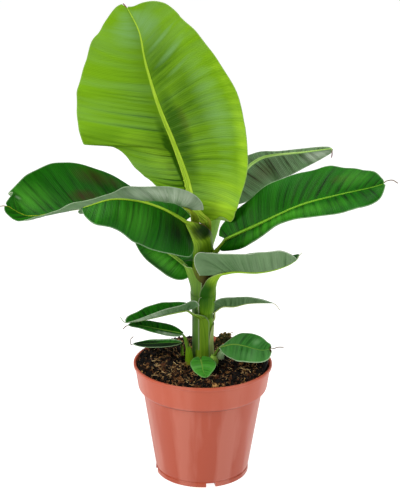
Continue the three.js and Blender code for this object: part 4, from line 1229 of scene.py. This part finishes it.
def creases(pitch, length, draw):
    # the places of the veins along the rib, at odd spacing, and how deep the blade is creased at each
    places, depths = [-0.3 * length], [0.5]
    while places[-1] < 1.3 * length:
        places.append(places[-1] + pitch * draw.uniform(0.65, 1.35))
        depths.append(draw.uniform(0.25, 1))
    return np.array(places), np.array(depths)


def ridgeAt(distance, places, depths):
    # rounded ridges that meet in a sharp valley at each crease
    k = np.clip(np.searchsorted(places, distance, side="right") - 1, 0, len(places) - 2)
    share = (distance - places[k]) / (places[k + 1] - places[k])
    depth = mix(depths[k], depths[k + 1], share)
    return np.sin(np.pi * np.clip(share, 0, 1)) ** 0.5, depth


def patchOver(leaf, side, t, share):
    # how strongly each tint shows at every point of a half; a patch fades from its middle
    found = {tint: np.zeros(share.shape) for tint in tints}
    for tint, where, tMid, outMid, tReach, outReach, strength in leaf.get("patches", []):
        if where == side:
            away = ((t[:, None] - tMid) / tReach) ** 2 + ((share - outMid) / outReach) ** 2
            found[tint] = np.maximum(found[tint], strength * np.exp(-away))
    return found


bladeForm = {
    "skin": 0.42,
    "startInside": 0.85,  # how far out in the rib the blade starts, as a share of the rib's radius
    "creaseLean": 0.12,  # how far a crease moves along the rib for each millimetre outwards
    "smallCreases": 3,  # small creases for each large one
    "longRipple": 7.5,
    "shortRipple": 3.9,
    "sharpAngle": 55,
    "otherHalf": 37,  # shifts the fine veins of one half against those of the other
}


def bladeHalf(leaf, side, draw):
    # one half of a blade as a grid of points, from the rib (rows) to the margin (columns); side is -1 or 1
    half = leaf["left" if side < 0 else "right"]
    stations = leaf.get("stations", usualStations)
    t = np.linspace(0, 1, leaf["rows"])
    length = eased(stations, half["length"], t)
    slant = np.radians(eased(stations, half.get("slant", usualSlant), t))[:, None]
    fold = np.radians(eased(stations, half["fold"], t))[:, None]
    at, way, face = ribFrames(leaf, t)
    across = np.cross(way, face) * side
    vein = way * np.cos(slant) + (across * np.cos(fold) + face * np.sin(fold)) * np.sin(slant)
    lift = face * np.cos(fold) - across * np.sin(fold)
    inside = bladeForm["startInside"] + 0.4 * np.minimum(np.sin(fold), 0)  # deeper in the rib where it hangs
    start = np.minimum(inside * (ribRadius(leaf, t) / length)[:, None], 0.6)
    share = mix(start, 1.0, np.linspace(0, 1, leaf["columns"])[None, :] ** 0.9)
    reach = length[:, None] * share
    span = leaf["curve"][1][-1]
    lean = bladeForm["creaseLean"] * reach * side
    distance = t[:, None] * span + lean + half.get("sag", 0) * 4 * share * (1 - share)
    ridge, depth = ridgeAt(distance, *creases(leaf["pitch"], span, draw))
    small, smallDepth = ridgeAt(distance, *creases(leaf["pitch"] / bladeForm["smallCreases"], span, draw))
    swell = smoothStep(0.0, 0.15, share) * (1 - 0.7 * smoothStep(leaf.get("smoothFrom", 0.45), 0.95, share))
    ends = smoothStep(0, 0.06, t)[:, None] * (1 - smoothStep(0.93, 1, t))[:, None]
    creased = half.get("creased", [1, 1])
    swell = swell * np.interp(t, np.linspace(0, 1, len(creased)), creased)[:, None]
    phase = draw.uniform(0, 6.28)
    ripple = (np.sin(distance / bladeForm["longRipple"] + phase)
              + 0.6 * np.sin(distance / bladeForm["shortRipple"] + 2 * phase))
    rise = (half["bow"] * length[:, None] * 4 * share * (1 - share)
            + half["rim"] * share ** 6 * np.sin(np.pi * t)[:, None] ** 0.5
            + leaf["pleat"] * ((ridge - 0.6) * depth + 0.6 * (small - 0.6) * smallDepth) * swell * ends
            + leaf["wave"] * ripple * share ** 4 * ends * 0.5)
    reach = reach + 0.5 * leaf["wave"] * ripple * share ** 8 * ends
    points = at[:, None, :] + vein[:, None, :] * reach[:, :, None] + lift[:, None, :] * rise[:, :, None]
    along = distance + (0 if side < 0 else bladeForm["otherHalf"])
    fields = {
        "vein": np.stack([along / 5, reach / 60, np.full(reach.shape, side * 7.0 + leaf["order"])], axis=-1),
        "along": along,
        "edge": length[:, None] * (1 - share),
        # the ridge field is low in the crease valleys, where it paints shade into the colour
        "ridge": 1 - depth * swell * (1 - ridge) - 0.6 * smallDepth * swell * (1 - small),
        **patchOver(leaf, "left" if side < 0 else "right", t, share),
    }
    return points, lift, fields


def sheetOf(points, lift, fields):
    # gives a sheet of points its thickness: upper face, lower face and the edge between them
    rows, columns, _ = points.shape
    normal = unit(np.cross(np.gradient(points, axis=0), np.gradient(points, axis=1)))
    if np.sum(normal[rows // 2, columns // 2] * lift[rows // 2]) < 0:
        normal = -normal
    upper, lower = points + normal * bladeForm["skin"] / 2, points - normal * bladeForm["skin"] / 2
    a = (np.arange(rows - 1)[:, None] * columns + np.arange(columns - 1)[None, :]).ravel()
    quads = np.stack([a, a + 1, a + columns + 1, a + columns], axis=1)
    i, j = rows // 2, columns // 2
    across, down = points[i, j + 1] - points[i, j], points[i + 1, j] - points[i, j]
    forward = np.dot(np.cross(across, down), normal[i, j]) > 0
    if not forward:
        quads = quads[:, ::-1]
    count = rows * columns
    loop = (list(range(columns)) + [k * columns + columns - 1 for k in range(1, rows)]
            + [(rows - 1) * columns + k for k in range(columns - 2, -1, -1)]
            + [k * columns for k in range(rows - 2, 0, -1)])
    strip = []
    for k, p in enumerate(loop):
        q = loop[(k + 1) % len(loop)]
        strip.append((q, p, p + count, q + count) if forward else (p, q, q + count, p + count))
    faces = np.vstack([quads, quads[:, ::-1] + count, np.array(strip)])
    slots = np.concatenate([np.zeros(len(quads)), np.ones(len(quads)), np.zeros(len(strip))])
    both = {}
    for name, values in fields.items():
        flat = values.reshape(count, -1) if values.ndim == 3 else values.ravel()
        both[name] = np.concatenate([flat, flat])
    return np.concatenate([upper.reshape(-1, 3), lower.reshape(-1, 3)]), faces, slots, both


def joinShells(shells):
    # the two halves of a blade as one mesh
    points, faces, slots, fields, count = [], [], [], {}, 0
    for p, f, s, both in shells:
        points.append(p)
        faces.append(f + count)
        slots.append(s)
        for name, values in both.items():
            fields.setdefault(name, []).append(values)
        count += len(p)
    return (np.vstack(points), np.vstack(faces), np.concatenate(slots),
            {name: np.concatenate(values) for name, values in fields.items()})


def makeBlade(name, leaf):
    draw = random.Random(name)
    shells = [sheetOf(*bladeHalf(leaf, side, draw)) for side in (-1, 1)]
    points, faces, slots, fields = joinShells(shells)
    blade = meshPiece(name + "Blade", points, faces,
                      [laminaMaterial(leaf["upper"]), laminaMaterial(leaf["under"])], slots, fields)
    blade.data.set_sharp_from_angle(angle=math.radians(bladeForm["sharpAngle"]))
    return blade


def ringPlaces(centres, steps):
    # how far along a loft its stops lie, and its rings, with so many rings from each stop to the next
    run = np.concatenate([[0], np.cumsum(np.linalg.norm(np.diff(centres, axis=0), axis=1))])
    spans = [np.linspace(a, b, steps, endpoint=False) for a, b in zip(run[:-1], run[1:])]
    return run, np.concatenate(spans + [run[-1:]])


def channelLoft(name, stops, material, steps=5, sides=24):
    # a channelled stalk through the stops: each has its centre, outer side, radius, half angle, wall, lip,
    # base, dry and shade, which darkens one side (the first where it is negative), and both sides where
    # it is over 1
    centres = np.array([s["centre"] for s in stops], float)
    outs = np.array([s["out"] for s in stops], float)
    run, want = ringPlaces(centres, steps)
    centre = np.stack([eased(run, centres[:, k], want) for k in range(3)], axis=1)
    out = np.stack([eased(run, outs[:, k], want) for k in range(3)], axis=1)
    sizes = ("radius", "half", "wall", "lip", "base", "dry", "shade")
    values = {size: [s.get(size, 0) for s in stops] for size in sizes}
    radius, half, wall, lip, base, dry, shade = (eased(run, values[size], want)[:, None] for size in sizes)
    way = unit(np.gradient(centre, axis=0))
    out = unit(out - way * np.sum(out * way, axis=1, keepdims=True))
    side = np.cross(way, out)
    turn = np.linspace(-1, 1, sides)[None, :]
    angle = np.radians(half) * turn
    thick = lip + (wall - lip) * np.cos(turn * np.pi / 2) ** 2
    ring = np.cos(angle)[:, :, None] * out[:, None, :] + np.sin(angle)[:, :, None] * side[:, None, :]
    outer = centre[:, None, :] + ring * radius[:, :, None]
    inner = centre[:, None, :] + ring * (radius - thick)[:, :, None]
    loop = np.concatenate([outer, inner[:, ::-1]], axis=1)
    rows, around = loop.shape[:2]
    faces = []
    for i in range(rows - 1):
        for j in range(around):
            a, b = i * around + j, i * around + (j + 1) % around
            faces.append((a, b, b + around, a + around))
    last = (rows - 1) * around
    for j in range(sides - 1):
        faces.append((j + 1, j, around - 1 - j, around - 2 - j))
        faces.append((last + j, last + j + 1, last + around - 2 - j, last + around - 1 - j))
    toLip = np.radians(half) * radius * (1 - np.abs(turn))
    dryness = np.clip(dry - 1, 0, 1) + np.clip(dry, 0, 1) * (1 - smoothStep(0.3, 1.1, toLip))
    reach = angle * radius
    shadeReach = np.abs(shade) * smoothStep(-0.35, 0.55, turn * np.sign(shade)) + np.abs(shade) - 1
    grids = {
        "fibre": np.stack([reach / 1.6, want[:, None] / 45 + 0 * reach, 0 * reach], axis=-1),
        "base": base + 0 * reach,
        "dry": np.clip(dryness, 0, 1),
        "shade": np.clip(shadeReach, 0, 1) * (shade != 0),
    }
    fields = {key: np.concatenate([v, v[:, ::-1]], axis=1) for key, v in grids.items()}
    fields = {key: v.reshape(-1, 3) if v.ndim == 3 else v.ravel() for key, v in fields.items()}
    piece = meshPiece(name, loop.reshape(-1, 3), faces, [material], fields=fields)
    piece.data.set_sharp_from_angle(angle=math.radians(60))
    return piece


def sheathStops(leaf):
    # the leaf's base as an arc round the stem's axis, with a turn, a half angle and an inset at each level
    stops = []
    levels = leaf.get("sheath", [])
    shades, dryness = leaf.get("sheathShade", [0] * len(levels)), leaf.get("sheathDry", [0.7] * len(levels))
    for (z, turn, half, inset), shade, dry in zip(levels, shades, dryness):
        centre, radius = stemAt(z)
        out = (math.cos(math.radians(turn)), math.sin(math.radians(turn)), 0)
        stops.append({"centre": centre, "out": out, "radius": radius - inset, "half": half, "base": 1,
                      "dry": dry, "wall": stem["sheathWall"], "lip": stem["sheathLip"], "shade": shade})
    return stops


def makeRib(name, leaf):
    # sheath, stalk, midrib and tip thread in one loft
    stops = sheathStops(leaf)
    shades = leaf.get("shade", [0] * len(leaf["stalk"]))
    for k, ((x, y, z, radius, half, *out), shade) in enumerate(zip(leaf["stalk"], shades)):
        stops.append({"centre": (x, y, z), "out": out[0] if out else -unit(leaf["face"][0]), "radius": radius,
                      "half": half, "wall": min(0.6 * radius, 2), "lip": 0.5,
                      "base": max(0.3, 0.8 - 0.25 * k), "shade": shade, "dry": leaf.get("edgeDry", 0.4)})
    places = np.linspace(0, 1, 25)
    at, way, face = ribFrames(leaf, places)
    for place, up, t in zip(at, face, places):
        radius = float(ribRadius(leaf, t))
        stops.append({"centre": place + up * 0.5 * radius, "out": -up, "radius": radius, "half": 95,
                      "wall": 1.15 * radius, "lip": 0.6 * radius, "base": 0, "dry": 0.4 * (t == 0)})
    for offset in leaf.get("thread", []):
        stops.append({"centre": at[-1] + offset, "out": -face[-1], "radius": 0.58, "half": 95,
                      "wall": 0.55, "lip": 0.25, "base": 0, "dry": 2})
    return channelLoft(name + "Rib", stops, stalkMaterial(leaf["ribSkin"]))


# the stem: a core of rolled leaf bases, which each leaf's own sheath wraps from outside

stem = {
    "foot": (0.5, 6, 117.3),
    "top": (0, -1, 256),
    "heights": [112, 117.3, 121, 132, 150, 165, 180, 194, 208, 222, 236, 248, 256],
    "radii": [12.6, 12.2, 10.8, 10.2, 10.2, 10.6, 12.4, 13, 12.6, 11.6, 10.8, 9.4, 7],
    "coreInset": 2.2,
    "fullTo": 240,
    "coreTop": 246,
    "coreTopRadius": 5,
    "sheathWall": 1.1,
    "sheathLip": 0.35,
    "furrows": 14,
    "relief": 0.05,
    "sides": 72,
    "skin": "stemSkin",
}

shoots = {
    # name: node, slot, skin, and the place and radius at each level
    "shootLeftStem": ("shoot_left", "stem", "youngRib",
                      [(-12.8, -6, 114, 4.8), (-13.3, -6, 121, 4.3), (-13.9, -6.5, 127, 3.6),
                       (-14.8, -7, 136, 2.3)]),
    "shootRightStem": ("shoot_right", "stem", "paleRib",
                       [(11, -9.5, 114, 4.8), (11.1, -9.4, 119, 4.5), (11.2, -9.3, 123, 4),
                        (11, -9, 128, 2.4)]),
    "budRightScales": ("bud_right", "bud", "budSkin",
                       [(18, 5, 114, 3.2), (18, 5.4, 119, 3.8), (18, 5.6, 122, 3.5), (18, 6, 126.5, 0.7)]),
}

shootFurrows = 7
shootRelief = 0.08


def stemAt(z):
    # the stem's centre and radius at a height
    foot, top = np.array(stem["foot"], float), np.array(stem["top"], float)
    share = (z - foot[2]) / (top[2] - foot[2])
    return foot + (top - foot) * share, float(eased(stem["heights"], stem["radii"], z))


def roundLoft(name, stops, material, furrows, relief, steps=10, sides=48):
    # a solid stalk through (x, y, z, radius) stops, furrowed along its length and closed at both ends
    s = np.array(stops, float)
    run, want = ringPlaces(s[:, :3], steps)
    centre = np.stack([eased(run, s[:, k], want) for k in range(3)], axis=1)
    radius = eased(run, s[:, 3], want)[:, None]
    turn = 2 * np.pi * np.arange(sides)[None, :] / sides
    furrow = 1 + relief * (np.abs(np.sin(turn * furrows / 2 + 0.05 * want[:, None])) - 0.6)
    ring = np.stack([np.cos(turn), np.sin(turn), np.zeros((1, sides))], axis=-1)
    points = centre[:, None, :] + ring * (radius * furrow)[:, :, None]
    rows = len(want)
    faces = []
    for i in range(rows - 1):
        for k in range(sides):
            a, b = i * sides + k, i * sides + (k + 1) % sides
            faces.append((a, b, b + sides, a + sides))
    faces.append(tuple(range(sides - 1, -1, -1)))
    faces.append(tuple((rows - 1) * sides + k for k in range(sides)))
    fibre = np.stack([np.cos(turn) * 3 + 0 * radius, want[:, None] / 45 + 0 * turn,
                      np.sin(turn) * 3 + 0 * radius], axis=-1)
    fields = {
        "fibre": fibre.reshape(-1, 3),
        "base": np.full(rows * sides, 1.0),
        "shade": np.zeros(rows * sides),
        "dry": np.repeat(0.9 * (1 - smoothStep(0, 8, want)), sides),
    }
    piece = meshPiece(name, points.reshape(-1, 3), faces, [material], fields=fields)
    piece.data.set_sharp_from_angle(angle=math.radians(60))
    return piece


def makeStem():
    stops = [(*stemAt(z)[0], stemAt(z)[1] - stem["coreInset"]) for z in stem["heights"] if z < stem["fullTo"]]
    stops.append((*stemAt(stem["coreTop"])[0], stem["coreTopRadius"]))
    core = roundLoft("stemCore", stops, stalkMaterial(stem["skin"]), stem["furrows"], stem["relief"],
                     sides=stem["sides"])
    givePlace(core, "pseudostem")
    for name, (node, slot, skin, levels) in shoots.items():
        shoot = roundLoft(name, levels, stalkMaterial(skin), shootFurrows, shootRelief)
        givePlace(shoot, node)
    print("stem wrapped")


def makeLeaves():
    for order, (name, leaf) in enumerate(leaves.items()):
        leaf["order"] = order
        leaf["curve"] = curveThrough(leaf["midrib"])
        for piece in (makeBlade(name, leaf), makeRib(name, leaf)):
            givePlace(piece, leaf["node"])
        print("leaf", name, "placed")


makeStem()
makeLeaves()


print("pieces placed")
